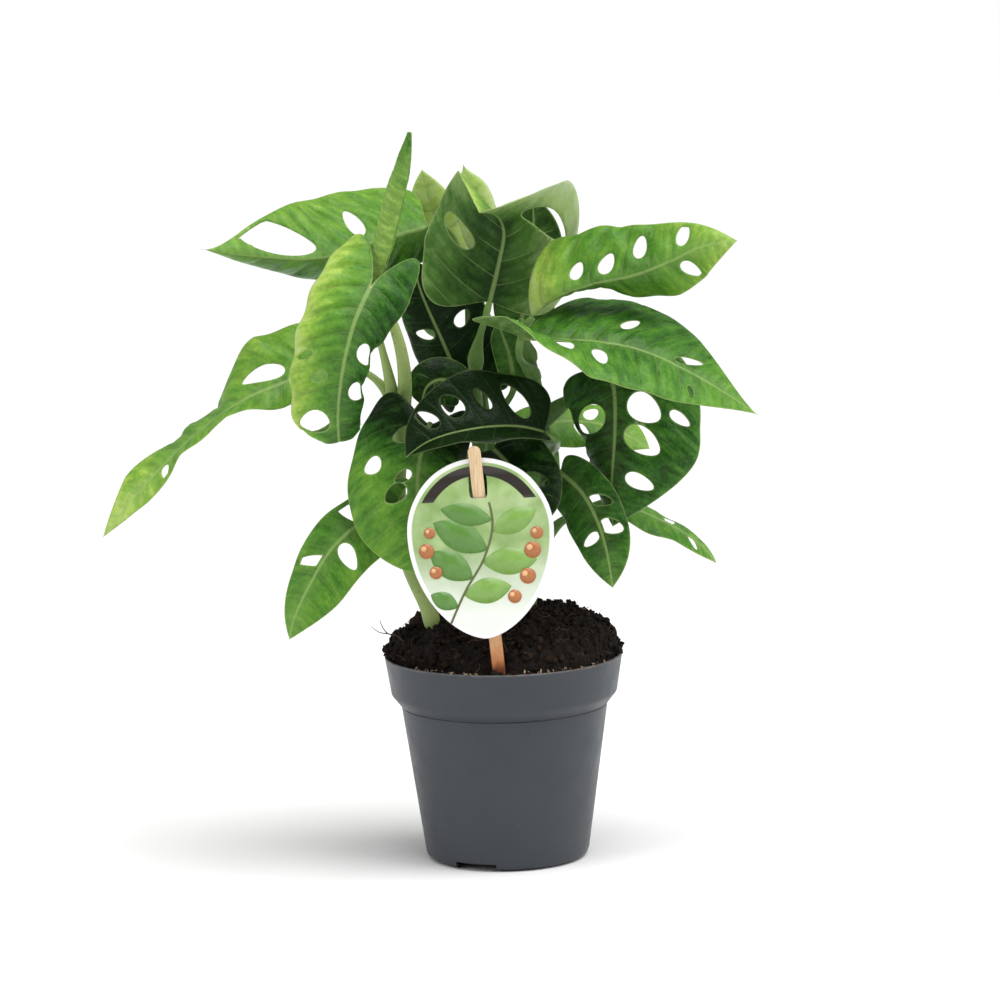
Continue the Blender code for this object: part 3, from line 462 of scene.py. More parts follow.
def hose(line, radii, sides, spread=(1, 1)):
    """A round tube: rings of radius r about a line, each ring square to the line and in step with the
    last, closed with a point at both ends. It is spread times as wide as deep, from start to end.
    Returns points, [quads, end triangles]."""
    line = np.asarray(line, float)
    radii = stretched(radii, len(line))[:, None, None]
    spread = stretched(spread, len(line))[:, None, None]
    ahead = unit(np.gradient(line, axis=0))
    side = np.empty_like(ahead)
    carried = np.cross(ahead[0], (0.3, 1.0, 0.1))
    for i, forward in enumerate(ahead):
        carried = unit(carried - (carried @ forward) * forward)
        side[i] = carried
    other = np.cross(ahead, side)
    a = circle(sides)[None, :, None]
    ring = np.cos(a) * side[:, None] * spread + np.sin(a) * other[:, None]
    points = (line[:, None] + radii * ring).reshape(-1, 3)
    tips = np.vstack([line[0] - 0.4 * radii[0] * ahead[0], line[-1] + 0.4 * radii[-1] * ahead[-1]])
    return np.vstack([points, tips]), ring_faces(len(line), sides)


def joined(shapes):
    """Several (points, [quads, triangles]) as one."""
    starts = np.cumsum([0, *[len(points) for points, _ in shapes[:-1]]])
    moved = [[part + start for part in faces] for (_, faces), start in zip(shapes, starts)]
    return np.vstack([points for points, _ in shapes]), [np.vstack(kind) for kind in zip(*moved)]


def scattered(random, count, reach):
    """Random places on the soil within reach of the pot's axis, as points on its surface."""
    radius = reach * np.sqrt(random.uniform(0.0, 1.0, count))
    at = polar(radius, random.uniform(0, 2 * math.pi, count), 0.0)
    at[:, 2] = soil_height(at)
    return at


def soil_crumbs(random):
    """A few kinds of crumb, each repeated at random places and turns, with radii of 0.45 to 2.15 mm. Some
    lie on the rim. The attribute rust is a random share for each crumb."""
    shapes, rust = [], []
    for kind in range(CRUMB_KINDS):
        points, faces = crumb(kind * 1.7)
        at = np.vstack([scattered(random, CRUMBS_SCATTERED, 57), on_rim(random, CRUMBS_ON_RIM)])
        count = len(at)
        turns = random_turns(random, count)
        sizes = 0.45 + 1.7 * random.uniform(0, 1, count) ** 3
        sizes[CRUMBS_SCATTERED:] = np.minimum(sizes[CRUMBS_SCATTERED:], 1.7)
        shapes.append(copies(points, faces, at, turns, sizes))
        rust.append(np.repeat(random.uniform(0, 1, count), len(points)))
    return *joined(shapes), {"rust": np.concatenate(rust)}


def on_rim(random, count):
    """Places on the rim: most at the left and right ends of the mound, where soil has spilt over."""
    spilt = random.choice((190, 178, 2, -10, 14, 165, 60, 95, 125), count)
    a = np.radians(spilt + random.normal(0, 7, count))
    radius = random.normal(58.6, 1.0, count).clip(56, 60.2)
    return polar(radius, a, random.uniform(104.3, 107.5, count))


def pale_chips(random):
    """Splinters of pale bark at the front rim, most on the right: crumbs pressed flat, 1 to 3 mm long."""
    points, faces = crumb(4.0)
    a = np.radians(-150 + 125 * random.uniform(0, 1, CHIPS) ** 0.55)
    at = polar(random.uniform(52, 58.5, CHIPS), a, 0.0)
    at[:, 2] = np.maximum(soil_height(at) + 0.3, 103.6)
    turns = random_turns(random, CHIPS)
    sizes = 0.5 + 1.1 * random.uniform(0, 1, CHIPS) ** 2
    return copies(points * (1, 0.38, 0.2), faces, at, turns, sizes)


def soil_fibres(random, count, reach):
    """Thin bent fibres that lie on the soil: curves of 2.5 to 10.5 mm through four random points."""
    at = scattered(random, count, reach)
    shapes = []
    for start in at:
        way = unit(random.normal(size=3) * (1, 1, 0.35))
        turn = unit(random.normal(size=3))
        length = 2.5 + 8 * random.uniform(0, 1) ** 2
        line = start + np.array([(0, 0, 0), way * 0.35 + 0.14 * turn, way * 0.7 - 0.1 * turn, way]) * length
        shapes.append(hose(smooth(line, 8), (0.17, 0.13, 0.06), 4))
    return joined(shapes)


def attribute(tree, name):
    """A number that the piece holds at each of its points."""
    return node(tree, "ShaderNodeAttribute", attribute_name=name).outputs["Fac"]


def peat():
    """Near-black damp peat: brown crumbs in the light, black hollows, and a wet glint on some grains."""
    finish, tree, shader = material("peat_compost", shine=0.15)
    coarse = noise(tree, 160, 4, 0.7)
    fine = noise(tree, 900, 4, 0.75)
    colour = ramp(tree, fine, [(0.3, (0.003, 0.002, 0.0015)), (0.55, (0.011, 0.007, 0.005)),
                               (0.78, (0.045, 0.027, 0.017))])
    colour = blend(tree, ramp(tree, coarse, [(0.45, 0.0), (0.7, 0.7)]), colour, (0.008, 0.0055, 0.0045))
    rusty = ramp(tree, attribute(tree, "rust"), [(0.7, 0.0), (1.0, 0.6)])
    colour = blend(tree, rusty, colour, (0.042, 0.021, 0.010))
    tree.links.new(colour, shader.inputs["Base Color"])
    tree.links.new(ramp(tree, coarse, [(0.4, 0.9), (0.7, 0.5)]), shader.inputs["Roughness"])
    bumped(tree, shader, fine, 0.0008)
    return finish


def fibre_finish(name, dark, pale):
    """Dry plant fibre that changes between two colours along its length."""
    finish, tree, shader = material(name, rough=0.8)
    tree.links.new(blend(tree, noise(tree, 130, 3), dark, pale), shader.inputs["Base Color"])
    return finish


random = np.random.default_rng(SOIL_SEED)
peat_finish = peat()
piece("soil_mound", *soil_surface(), peat_finish, "soil", "soil")
points, faces, values = soil_crumbs(random)
piece("soil_crumbs", points, faces, peat_finish, "soil", "soil", values, smooth=False)
chip_finish = fibre_finish("bark_chip", (0.16, 0.09, 0.04), (0.55, 0.42, 0.26))
piece("bark_chips", *pale_chips(random), chip_finish, "soil", "soil", smooth=False)
fibre = fibre_finish("bark_fibre", (0.035, 0.017, 0.009), (0.16, 0.075, 0.035))
piece("soil_fibres", *soil_fibres(random, FIBRES, 55), fibre, "soil", "soil")
straw = fibre_finish("straw_fibre", (0.2, 0.11, 0.05), (0.5, 0.36, 0.2))
piece("soil_pale_fibres", *soil_fibres(random, PALE_FIBRES, 56), straw, "soil", "soil")
ROOT_LINE = [(-49, -12, 112), (-54, -13, 116.5), (-57.5, -14, 117.5), (-60, -14, 120.5), (-61.5, -14, 124.5)]
ROOT_BRANCH = [(-57.5, -14, 117.5), (-62, -13, 118.2), (-66, -12, 121)]
root = [hose(smooth(ROOT_LINE, 24), (0.45, 0.38, 0.2), 6), hose(smooth(ROOT_BRANCH, 14), (0.32, 0.15), 5)]
root_finish = fibre_finish("dry_root", (0.03, 0.018, 0.012), (0.09, 0.055, 0.035))
piece("dry_root", *joined(root), root_finish, "soil", "soil")

# Leaves
# Each blade is a pointed heart, thin and glossy, with holes between its side veins. It grew rolled
# up, so the young ones are yellow-green and the old ones deep green; the underside is paler.
# Blades in the shade of others are painted darker, and undersides in the light are painted paler.

BLADE = 0.45
CELL = 1.25
RIB_POINTS = 200
OUTLINE_POINTS = 400
HOLE_POINTS = 40
HOLE_RIB = 1.8
HOLE_EDGE = 3.0
VEIN_GAP = 13.0
HOLE_LEAN = 30
GENTLE = ((0, 20), (0, 20))


def leaf(rib, face, half, left=GENTLE, right=GENTLE, lobe=14.0, peak=0.42, taper=2.1, cleft=1.0,
         wave=1.0, tone="mid", holes_left=(), holes_right=()):
    """One blade's design.

    rib is the midrib from the petiole to the tip, and face the way the upper side looks, from base
    to tip. half is the width left and right of the midrib, seen from above with the tip ahead. left
    and right hold the droop in degrees, at the rib and at the edge, in steps from base to tip. lobe
    is how far the blade reaches back past its stalk, peak where it is widest, and taper how drawn
    out its tip is; a pair is for left and right. A lower cleft makes rounder lobes. A hole is (along,
    out, length, width, lean): two shares of the blade, two sizes, and the degrees that its narrow
    end leans to the tip, which are HOLE_LEAN where they are left out.
    """
    return dict(rib=rib, face=face, half=half, left=left, right=right, lobe=lobe, peak=peak, taper=taper,
                cleft=cleft, wave=wave, tone=tone, holes_left=holes_left, holes_right=holes_right)


LEAVES = {
    "leaf_upper_left": leaf(
        rib=[(-33, 38, 316), (-57, 26, 311), (-87, 14, 304), (-122, 4, 307), (-146, -4, 312)],
        face=[(0.1, -0.6, 0.8), (-0.1, -0.8, 0.6), (-0.2, -0.8, 0.6)],
        half=(24, 43), left=((75, 85), (105, 125)), right=((0, 15), (0, 25)), peak=0.34,
        taper=(3.2, 3.9), lobe=10, wave=0.3, holes_left=[(0.4, 0.5, 12, 7)],
        holes_right=[(0.28, 0.38, 20, 8, 0), (0.67, 0.4, 44, 19, -105)],
    ),
    "leaf_front_left": leaf(
        rib=[(-61, -46, 296), (-69, -58, 280), (-75, -64, 258), (-78, -62, 236), (-78, -52, 221),
             (-77, -40, 223), (-76, -34, 232)],
        face=[(-0.1, -0.95, 0.35), (-0.2, -1, 0.1), (-0.2, -1, -0.2), (0, -0.2, -1)],
        half=(21, 28), left=((0, 25), (30, 95), (35, 100), (30, 90), (10, 40)),
        right=((-5, 20), (0, 40)), lobe=(28, 34), peak=(0.3, 0.42), taper=1.5, cleft=0.5, tone="light",
        holes_left=[(0.32, 0.6, 14, 11), (0.52, 0.6, 14, 10)],
        holes_right=[(0.38, 0.75, 9, 4), (0.46, 0.4, 8, 5), (0.68, 0.5, 17, 12)],
    ),
    "leaf_far_left": leaf(
        rib=[(-83, -8, 252), (-104, -12, 246), (-127, -16, 237), (-152, -20, 220), (-177, -22, 196),
             (-198, -22, 171)],
        face=[(-0.2, -0.85, 0.5), (-0.2, -0.85, 0.5), (-0.6, -0.15, 0.78), (-0.62, -0.2, 0.76),
              (-0.5, -0.7, 0.5), (-0.5, -0.7, 0.5)],
        half=(14, 31), left=((-15, 0), (-10, 0), (0, 5), (0, 5)), right=((0, 10), (0, 20)),
        lobe=10, peak=(0.4, 0.22), taper=2, holes_left=[(0.68, 0.5, 8, 5)],
        holes_right=[(0.22, 0.3, 22, 9, 75)],
    ),
    "leaf_low_left": leaf(
        rib=[(-51, -20, 184), (-67, -28, 178), (-83, -36, 166), (-95, -40, 148), (-103, -42, 132),
             (-106, -38, 120)],
        face=[(-0.1, -0.9, 0.3), (-0.2, -0.9, 0.1)],
        half=(20, 15), left=((5, 20), (5, 20)), right=((5, 20), (5, 20)), peak=(0.42, 0.3),
        holes_left=[(0.42, 0.45, 15, 9)], holes_right=[(0.22, 0.4, 18, 9), (0.55, 0.35, 17, 5)],
    ),
    "leaf_centre_left": leaf(
        rib=[(-34, -28, 225), (-40, -38, 204), (-40, -43, 181), (-34, -42, 150)],
        face=[(0, -0.8, 0.6), (0, -1, 0)],
        half=(24, 36), left=((5, 30), (5, 40)), right=((0, 30), (0, 30)), lobe=18,
        holes_right=[(0.1, 0.3, 12, 8), (0.3, 0.65, 9, 7), (0.35, 0.2, 9, 5),
                     (0.45, 0.3, 12, 8)],
    ),
    "leaf_over_label": leaf(
        rib=[(23, -32, 220), (9, -36, 224), (-14, -42, 224), (-34, -44, 219), (-46, -44, 211)],
        face=[(0, -0.2, 1), (0, -0.2, 1)],
        half=(16, 30), left=((0, 10), (0, 10)), right=((-45, -55), (-45, -55)), lobe=4, tone="dark",
        holes_right=[(0.2, 0.5, 20, 8), (0.4, 0.5, 12, 5), (0.6, 0.5, 14, 9),
                     (0.76, 0.5, 13, 6)],
    ),
    "leaf_top": leaf(
        rib=[(-3, 6, 281), (2, 6, 300), (5, 3, 316), (2, -6, 325), (-7, -22, 329)],
        face=[(0, 1, 0.2), (0, 1, 0.2), (0, 0.8, 0.6), (0, 0.2, 1), (0, 0, 1)],
        half=(42, 41), left=((-5, -20), (-18, -32), (-20, -32), (-14, -24)), lobe=(6, 14), peak=0.48,
        right=((-5, -25), (-10, -35), (-40, -50), (-50, -60)), taper=1.7,
        holes_left=[(0.54, 0.55, 27, 7, -25)], holes_right=[(0.44, 0.6, 23, 9)],
    ),
    "leaf_top_back": leaf(
        rib=[(-4, 30, 309), (-7, 32, 324), (-10, 34, 335), (-13, 36, 342), (-15, 37, 348)],
        face=[(0, -0.9, 0.4), (0, -0.9, 0.4)],
        half=(12, 9), left=((0, 20), (0, 30)), right=((0, 20), (0, 30)), lobe=6, taper=4.5,
    ),
    "leaf_inner_left": leaf(
        rib=[(-18, 19, 238), (-28, 21, 262), (-38, 23, 287), (-41, 24, 301)],
        face=[(-0.2, -1, 0.2), (-0.1, -1, 0.1)],
        half=(17, 28), left=((0, 30), (0, 30)), right=((0, 30), (0, 30)), tone="dark", peak=0.36,
        holes_left=[(0.45, 0.4, 10, 5)], holes_right=[(0.45, 0.5, 10, 6)],
    ),
    "leaf_inner_right": leaf(
        rib=[(8, 8, 244), (6, 9, 255), (3, 10, 264), (1, 10, 271)],
        face=[(0, -1, 0.1), (0, -1, 0.1)],
        half=(8, 8), tone="light", lobe=6,
    ),
    "leaf_upper_right": leaf(
        rib=[(18, -5, 274), (30, -10, 284), (49, -13, 291), (68, -15, 295), (87, -16, 302),
             (102, -18, 309), (120, -20, 312)],
        face=[(0, -0.85, 0.5), (0, -0.8, 0.6)],
        half=(33, 20), left=((0, 20), (0, 10)), tone="light", lobe=(-12, 6), peak=(0.28, 0.5),
        right=((120, 160), (100, 140), (40, 60), (20, 40)),
        holes_left=[(0.27, 0.3, 10, 6), (0.4, 0.3, 12, 7), (0.58, 0.5, 13, 7),
                    (0.78, 0.55, 11, 6)],
        holes_right=[(0.75, 0.5, 12, 6)],
    ),
    "leaf_right": leaf(
        rib=[(12, -18, 266), (31, -23, 265), (51, -28, 264), (71, -32, 260), (95, -36, 249),
             (129, -38, 227)],
        face=[(0.1, -0.2, 1), (0.2, -0.25, 0.9)],
        half=(53, 34), left=((-22, 8), (-14, 10)), lobe=(-12, 24), peak=(0.23, 0.34), taper=(3.6, 2.6),
        wave=0.5, right=((-40, -30), (8, 15), (12, 25), (10, 20)),
        holes_left=[(0.4, 0.4, 12, 6), (0.66, 0.25, 15, 5, 60)],
        holes_right=[(0.2, 0.38, 14, 9), (0.34, 0.42, 13, 7), (0.72, 0.6, 9, 3)],
    ),
    "leaf_lower_right": leaf(
        rib=[(55, 6, 247), (58, -4, 237), (58, -10, 217), (56, -12, 192), (56, -8, 168)],
        face=[(0, -1, 0.3), (0, -1, 0)],
        half=(44, 30), left=((0, 15), (0, 25)), right=((0, 30), (50, 160)), tone="dark",
        lobe=6, peak=(0.42, 0.33), taper=2.3,
        holes_left=[(0.29, 0.34, 18, 13), (0.47, 0.32, 20, 12), (0.72, 0.4, 16, 8),
                    (0.34, 0.75, 12, 5)],
        holes_right=[(0.35, 0.5, 20, 15)],
    ),
    "leaf_low_right": leaf(
        rib=[(30, -18, 198), (41, -24, 188), (50, -30, 169), (55, -30, 141)],
        face=[(0, -1, 0.3), (0, -1, 0)],
        lobe=6, half=(15, 16), right=((0, 40), (0, 40)), tone="dark",
        holes_left=[(0.35, 0.4, 12, 5), (0.55, 0.4, 12, 7)], holes_right=[(0.6, 0.4, 10, 5)],
    ),
    "leaf_thin_right": leaf(
        rib=[(58, 26, 176), (73, 28, 169), (91, 32, 159), (103, 36, 149), (110, 38, 140)],
        face=[(0.1, -0.3, 1), (0.2, -0.3, 1)],
        half=(15, 15), lobe=8, holes_left=[(0.5, 0.4, 12, 5)], holes_right=[(0.7, 0.4, 10, 4)],
    ),
    "leaf_behind_right": leaf(
        rib=[(17, 34, 213), (36, 40, 215), (56, 45, 211), (77, 45, 199)],
        face=[(0, -0.6, 0.8), (0, -0.6, 0.8)],
        half=(18, 16), tone="light", holes_left=[(0.5, 0.4, 12, 6)], holes_right=[(0.4, 0.4, 12, 6)],
    ),
    "leaf_behind_label": leaf(
        rib=[(-3, -20, 211), (6, -28, 202), (12, -34, 188), (14, -36, 170)],
        face=[(0, -0.9, 0.5), (0, -1, 0)],
        half=(22, 20), tone="dark", lobe=9, holes_left=[(0.5, 0.4, 12, 6)],
        holes_right=[(0.4, 0.4, 12, 6)],
    ),
    "leaf_inner_low": leaf(
        rib=[(-20, 4, 240), (-29, 2, 243), (-35, 0, 240), (-38, -2, 231)],
        face=[(0, -0.9, 0.4), (0, -1, 0)],
        half=(13, 12), lobe=6, holes_left=[(0.5, 0.4, 8, 4)],
    ),
    "leaf_back_top": leaf(
        rib=[(-18, 62, 284), (-25, 66, 304), (-32, 68, 324), (-36, 68, 342)],
        face=[(-0.2, -0.9, 0.3), (-0.2, -0.9, 0.3)],
        half=(14, 14), left=((0, 20), (0, 30)), tone="light", lobe=8,
    ),
    "leaf_back_left": leaf(
        rib=[(-24, 46, 262), (-48, 62, 280), (-72, 76, 282), (-94, 84, 268)],
        face=[(-0.2, 0.5, 0.9), (-0.5, 0.6, 0.7)],
        half=(26, 26), left=((0, 25), (0, 30)), right=((0, 25), (0, 30)),
        holes_left=[(0.3, 0.4, 13, 7), (0.5, 0.4, 12, 6)],
        holes_right=[(0.35, 0.4, 13, 7), (0.55, 0.4, 12, 6)],
    ),
    "leaf_back_right": leaf(
        rib=[(13, 38, 268), (17, 44, 292), (20, 48, 312), (20, 50, 330)],
        face=[(0, 0.95, -0.2), (0, 0.95, -0.2)],
        half=(17, 17), left=((0, 15), (0, 20)), right=((0, 15), (0, 20)), tone="dark", lobe=8,
        holes_left=[(0.2, 0.45, 9, 5)], holes_right=[(0.25, 0.4, 9, 5)],
    ),
    "leaf_back_low": leaf(
        rib=[(-2, 46, 196), (2, 68, 200), (6, 90, 184), (8, 102, 154)],
        face=[(0, 0.4, 0.9), (0, 1, 0.2)],
        half=(28, 28), left=((0, 25), (0, 30)), right=((0, 25), (0, 30)),
        holes_left=[(0.3, 0.4, 13, 7), (0.55, 0.4, 12, 6)],
        holes_right=[(0.35, 0.4, 13, 7), (0.55, 0.4, 12, 6)],
    ),
}

# How young each blade looks, from 0 for the deepest green over 1 for yellow-green to 1.4 for whitish
# green: at the left margin, on the midrib, at the right margin, and added at the stalk and at the tip.
# Some numbers also paint light and shade: the low and negative ones of leaf_over_label and
# leaf_inner_left and on the midrib of leaf_top are painted shade where other blades shade them, and
# the whitish left side and tip of leaf_top and the pale tip of leaf_far_left are painted light on
# undersides that the light falls on.
YOUTH_AND_PAINTED_LIGHT = {
    "leaf_upper_left": (0.32, 0.52, 0.76, 0.0, 0.1), "leaf_front_left": (0.16, 0.32, 1.08, 0.05, 0.0),
    "leaf_far_left": (0.66, 0.58, 0.72, 0.0, 0.5), "leaf_low_left": (0.58, 0.46, 0.5, 0.0, 0.15),
    "leaf_centre_left": (0.4, 0.5, 0.6, -0.6, 0.15), "leaf_over_label": (-0.05, -0.4, -0.38, 0.0, 0.1),
    "leaf_top": (1.3, -0.04, 0.52, 0.0, 1.0), "leaf_top_back": (1.2, 0.9, 1.25, 0.1, 0.1),
    "leaf_inner_left": (0.02, -0.05, 0.02, 0.0, 0.0), "leaf_inner_right": (0.3, 0.3, 0.3, 0.0, 0.0),
    "leaf_upper_right": (0.64, 0.42, 0.66, 0.75, 0.5), "leaf_right": (0.36, 0.38, 0.55, 0.0, 0.25),
    "leaf_lower_right": (0.36, 0.18, 0.2, 0.0, 0.1), "leaf_low_right": (0.28, 0.22, 0.25, 0.0, 0.2),
    "leaf_thin_right": (0.5, 0.5, 0.45, 0.0, 0.2), "leaf_behind_right": (0.75, 0.6, 0.6, 0.0, 0.2),
    "leaf_behind_label": (0.05, 0.0, 0.0, 0.0, 0.0), "leaf_inner_low": (0.1, 0.05, 0.1, 0.0, 0.0),
    "leaf_back_top": (1.1, 1.0, 1.1, 0.2, 0.1), "leaf_back_left": (0.45, 0.4, 0.4, 0.0, 0.1),
    "leaf_back_right": (0.15, 0.15, 0.15, 0.0, 0.0), "leaf_back_low": (0.35, 0.35, 0.4, 0.0, 0.1),
}
# How many times deeper than usual a blade puckers between its side veins.
PUCKER = {"leaf_front_left": 1.9, "leaf_upper_right": 1.8, "leaf_upper_left": 1.3, "leaf_right": 1.3,
          "leaf_lower_right": 1.3}


def sided(value, side):
    """A pair's value for this side of the midrib, 0 for left and 1 for right, or the one for both."""
    return value[side] if isinstance(value, tuple) else value


def half_outline(design, length, side):
    """One side of the flat blade, from its stalk round the lobe to the tip.

    It is a half circle stretched to the length, with its middle moved to the widest place. The sine
    that gives the width is raised to a power that grows from 0.75 at the base, for a full lobe, to
    the taper at the tip, which draws it out.
    """
    turn = np.linspace(0, math.pi, OUTLINE_POINTS)
    reach = ((1 - np.cos(turn)) / 2) ** (math.log(sided(design["peak"], side)) / math.log(0.5))
    back = np.clip(np.sin(2 * turn), 0, None) ** design["cleft"] * (turn < math.pi / 2)
    power = 0.75 + (sided(design["taper"], side) - 0.75) * np.clip((turn - 1.2) / 1.9, 0, 1) ** 1.3
    across = np.sin(turn).clip(0) ** power
    along = length * reach - sided(design["lobe"], side) * back
    return np.stack([along, design["half"][side] * across], axis=1)


def hole_loop(design, length, hole, side):
    """An egg-shaped hole between two side veins, kept clear of the midrib and of the edge."""
    along, out, long, wide, lean = (*hole, HOLE_LEAN)[:5]
    line = half_outline(design, length, int(side < 0))
    front = line[line[:, 0].argmin():]
    room = np.interp(along * length, front[:, 0], front[:, 1])
    turn = circle(HOLE_POINTS)
    lean = math.radians(lean)
    major = long / 2 * np.cos(turn)
    minor = wide / 2 * np.sin(turn) * (1 - 0.22 * np.cos(turn))
    forward = along * length + major * math.sin(lean) - minor * math.cos(lean)
    outward = out * room + major * math.cos(lean) + minor * math.sin(lean)
    edge = np.interp(forward, front[:, 0], front[:, 1]) - HOLE_EDGE
    return np.stack([forward, side * np.clip(outward, HOLE_RIB, edge)], axis=1)


def inside(points, loop):
    """Which flat points lie inside a closed loop, by counting the edges to their right."""
    x, y = points[:, :1], points[:, 1:]
    ax, ay = loop[:, 0], loop[:, 1]
    bx, by = np.roll(ax, -1), np.roll(ay, -1)
    spans = (ay > y) != (by > y)
    rise = np.where(by == ay, 1e-9, by - ay)
    return ((spans & (x < ax + (y - ay) / rise * (bx - ax))).sum(axis=1) % 2) == 1


def flat_mesh(outline, holes, step, creases):
    """Triangles that fill an outline but not its holes, with edges on the creases and an even grid.

    It also returns each point's distance from the nearest edge.
    """
    loops = [outline, *holes]
    low, high = outline.min(axis=0), outline.max(axis=0)
    row = step * math.sqrt(3) / 2
    line, column = np.mgrid[:int((high[1] - low[1]) / row) + 1, :int((high[0] - low[0]) / step) + 1]
    grid = np.stack([low[0] + column * step + line % 2 * step / 2, low[1] + line * row], axis=-1)
    grid = grid.reshape(-1, 2)
    grid = grid[inside(grid, outline)]
    rims = np.concatenate([*loops, *creases])
    kept = np.linalg.norm(grid[:, None] - rims[None], axis=2).min(axis=1) > 0.62 * step
    for hole in holes:
        kept &= ~inside(grid, hole)
    points, edges = [], []
    for loop in loops:
        first = len(points)
        points += list(loop)
        edges += [(first + i, first + (i + 1) % len(loop)) for i in range(len(loop))]
    for crease in creases:
        first = len(points)
        points += list(crease)
        edges += [(first + i, first + i + 1) for i in range(len(crease) - 1)]
    points += list(grid[kept])
    made = geometry.delaunay_2d_cdt([tuple(map(float, p)) for p in points], edges, [], 0, 1e-4)
    flat = np.array([tuple(p) for p in made[0]])
    triangles = np.array(made[2])
    sides = flat[triangles[:, 1:]] - flat[triangles[:, :1]]
    triangles = triangles[np.abs(np.linalg.det(sides)) > 1e-3]
    centres = flat[triangles].mean(axis=1)
    filled = inside(centres, outline)
    for hole in holes:
        filled &= ~inside(centres, hole)
    triangles = triangles[filled]
    used, renumbered = np.unique(triangles, return_inverse=True)
    flat = flat[used]
    rims = np.vstack(loops)
    far = np.concatenate([np.linalg.norm(part[:, None] - rims[None], axis=2).min(axis=1)
                          for part in np.array_split(flat, 8)])
    return flat, renumbered.reshape(-1, 3), far


def frame_of(design):
    """Points along the midrib with the forward, left and upward directions at each."""
    rib = smooth(design["rib"], RIB_POINTS)
    ahead = unit(np.gradient(rib, axis=0))
    up = np.stack([stretched(column, RIB_POINTS) for column in zip(*design["face"])], axis=1)
    up = unit(up - (up * ahead).sum(axis=1, keepdims=True) * ahead)
    return rib, ahead, np.cross(up, ahead), up


def droop_along(steps, share, end):
    """The droop in radians at each share of the length, at the rib (0) or at the edge (1)."""
    return np.radians(np.interp(share, np.linspace(0, 1, len(steps)), [step[end] for step in steps]))


def carry(flat, design):
    """Flat points carried on to the bent blade.

    The distance along runs on the midrib. The distance across runs on an arc that starts at the
    rib's droop and ends at the edge's. The margin waves a little.
    """
    rib, ahead, left, up = frame_of(design)
    length = length_of(rib)
    along, across = flat[:, 0], flat[:, 1]
    at = np.linspace(0, length, len(rib))

    def follow(line):
        """The line's value beside each point, by its distance along."""
        return np.stack([np.interp(along, at, column) for column in line.T], axis=1)

    share = np.clip(along / length, 0, 1)
    out = np.abs(across)
    half = np.where(across > 0, *design["half"])
    side = (across < 0).astype(int)
    at_rib, at_edge = [np.where(side, *[droop_along(design[key], share, end) for key in ("right", "left")])
                       for end in (0, 1)]
    bend = at_edge - at_rib
    bend = np.where(np.abs(bend) < 1e-3, 1e-3, bend)
    angle = at_rib + bend * out / half
    level = half / bend * (np.sin(angle) - np.sin(at_rib))
    drop = half / bend * (np.cos(at_rib) - np.cos(angle))
    ripple = design["wave"] * (out / half) ** 2 * np.sin(along * 0.16 + side * 2.0)
    behind = np.minimum(along, 0)[:, None] * follow(ahead)
    lift = (ripple - drop)[:, None] * follow(up)
    return follow(rib) + behind + (np.sign(across) * level)[:, None] * follow(left) + lift


def leaf_flat(design, length):
    """The flat blade with its holes, creased on the midrib, and each point's distance from an edge."""
    sides = [half_outline(design, length, side) for side in (0, 1)]
    sides = [even(side, int(length_of(side) / CELL)) for side in sides]
    outline = np.vstack([sides[0], (sides[1] * (1, -1))[-2:0:-1]])
    holes = [hole_loop(design, length, hole, 1) for hole in design["holes_left"]]
    holes += [hole_loop(design, length, hole, -1) for hole in design["holes_right"]]
    crease = np.linspace((0, 0), (length, 0), int(length / CELL))
    return flat_mesh(outline, holes, CELL, [crease])


def surface_normals(points, triangles):
    """Unit normals at the points: the sum of the cross products of the triangles round each."""
    corners = points[triangles]
    faced = np.repeat(np.cross(corners[:, 1] - corners[:, 0], corners[:, 2] - corners[:, 0]), 3, axis=0)
    return unit(np.stack([np.bincount(triangles.ravel(), part, len(points)) for part in faced.T], axis=1))


def closed_sheet(upper, lower, triangles, values, under=(0.0, 1.0)):
    """A sheet from its upper and lower points: the triangles on both, with a wall round every free edge.
    Returns points, [walls, triangles] and the values of both sides, with the attribute under."""
    total = len(upper)
    ends = np.concatenate([triangles[:, [0, 1]], triangles[:, [1, 2]], triangles[:, [2, 0]]])
    _, first, uses = np.unique(np.sort(ends, axis=1), axis=0, return_index=True, return_counts=True)
    free = ends[first[uses == 1]]
    walls = np.stack([free[:, 1], free[:, 0], free[:, 0] + total, free[:, 1] + total], axis=1)
    faces = [walls, np.vstack([triangles, triangles[:, ::-1] + total])]
    values = {key: np.tile(value, 2) for key, value in values.items()}
    return np.vstack([upper, lower]), faces, {**values, "under": np.repeat(under, total)}


def vein_count(design, length, along, out, side):
    """How many side veins lie between the base and each point, as a number that is whole on a vein.

    A vein leaves the midrib and bends towards the tip, so a point belongs to the place on the midrib
    at along - 0.3 out - 0.006 out squared. Holes are kept half way between two veins.
    """
    root = along - 0.3 * out - 0.006 * out**2
    holes = design["holes_left"] if side == 0 else design["holes_right"]
    line = half_outline(design, length, side)
    middles = []
    for share, reach, *_ in holes:
        offset = reach * np.interp(share * length, line[:, 0], line[:, 1])
        middles.append(share * length - 0.3 * offset - 0.006 * offset**2)
    places, counts = [-60.0], [-60.0 / VEIN_GAP]
    for middle in sorted(middles):
        count = counts[-1] + (middle - places[-1]) / VEIN_GAP
        count = math.floor(count) + 0.5
        if count - counts[-1] >= 0.9 and middle - places[-1] > 5:
            places.append(middle)
            counts.append(count)
    places.append(length + 60)
    counts.append(counts[-1] + (places[-1] - places[-2]) / VEIN_GAP)
    return np.interp(root, places, counts)


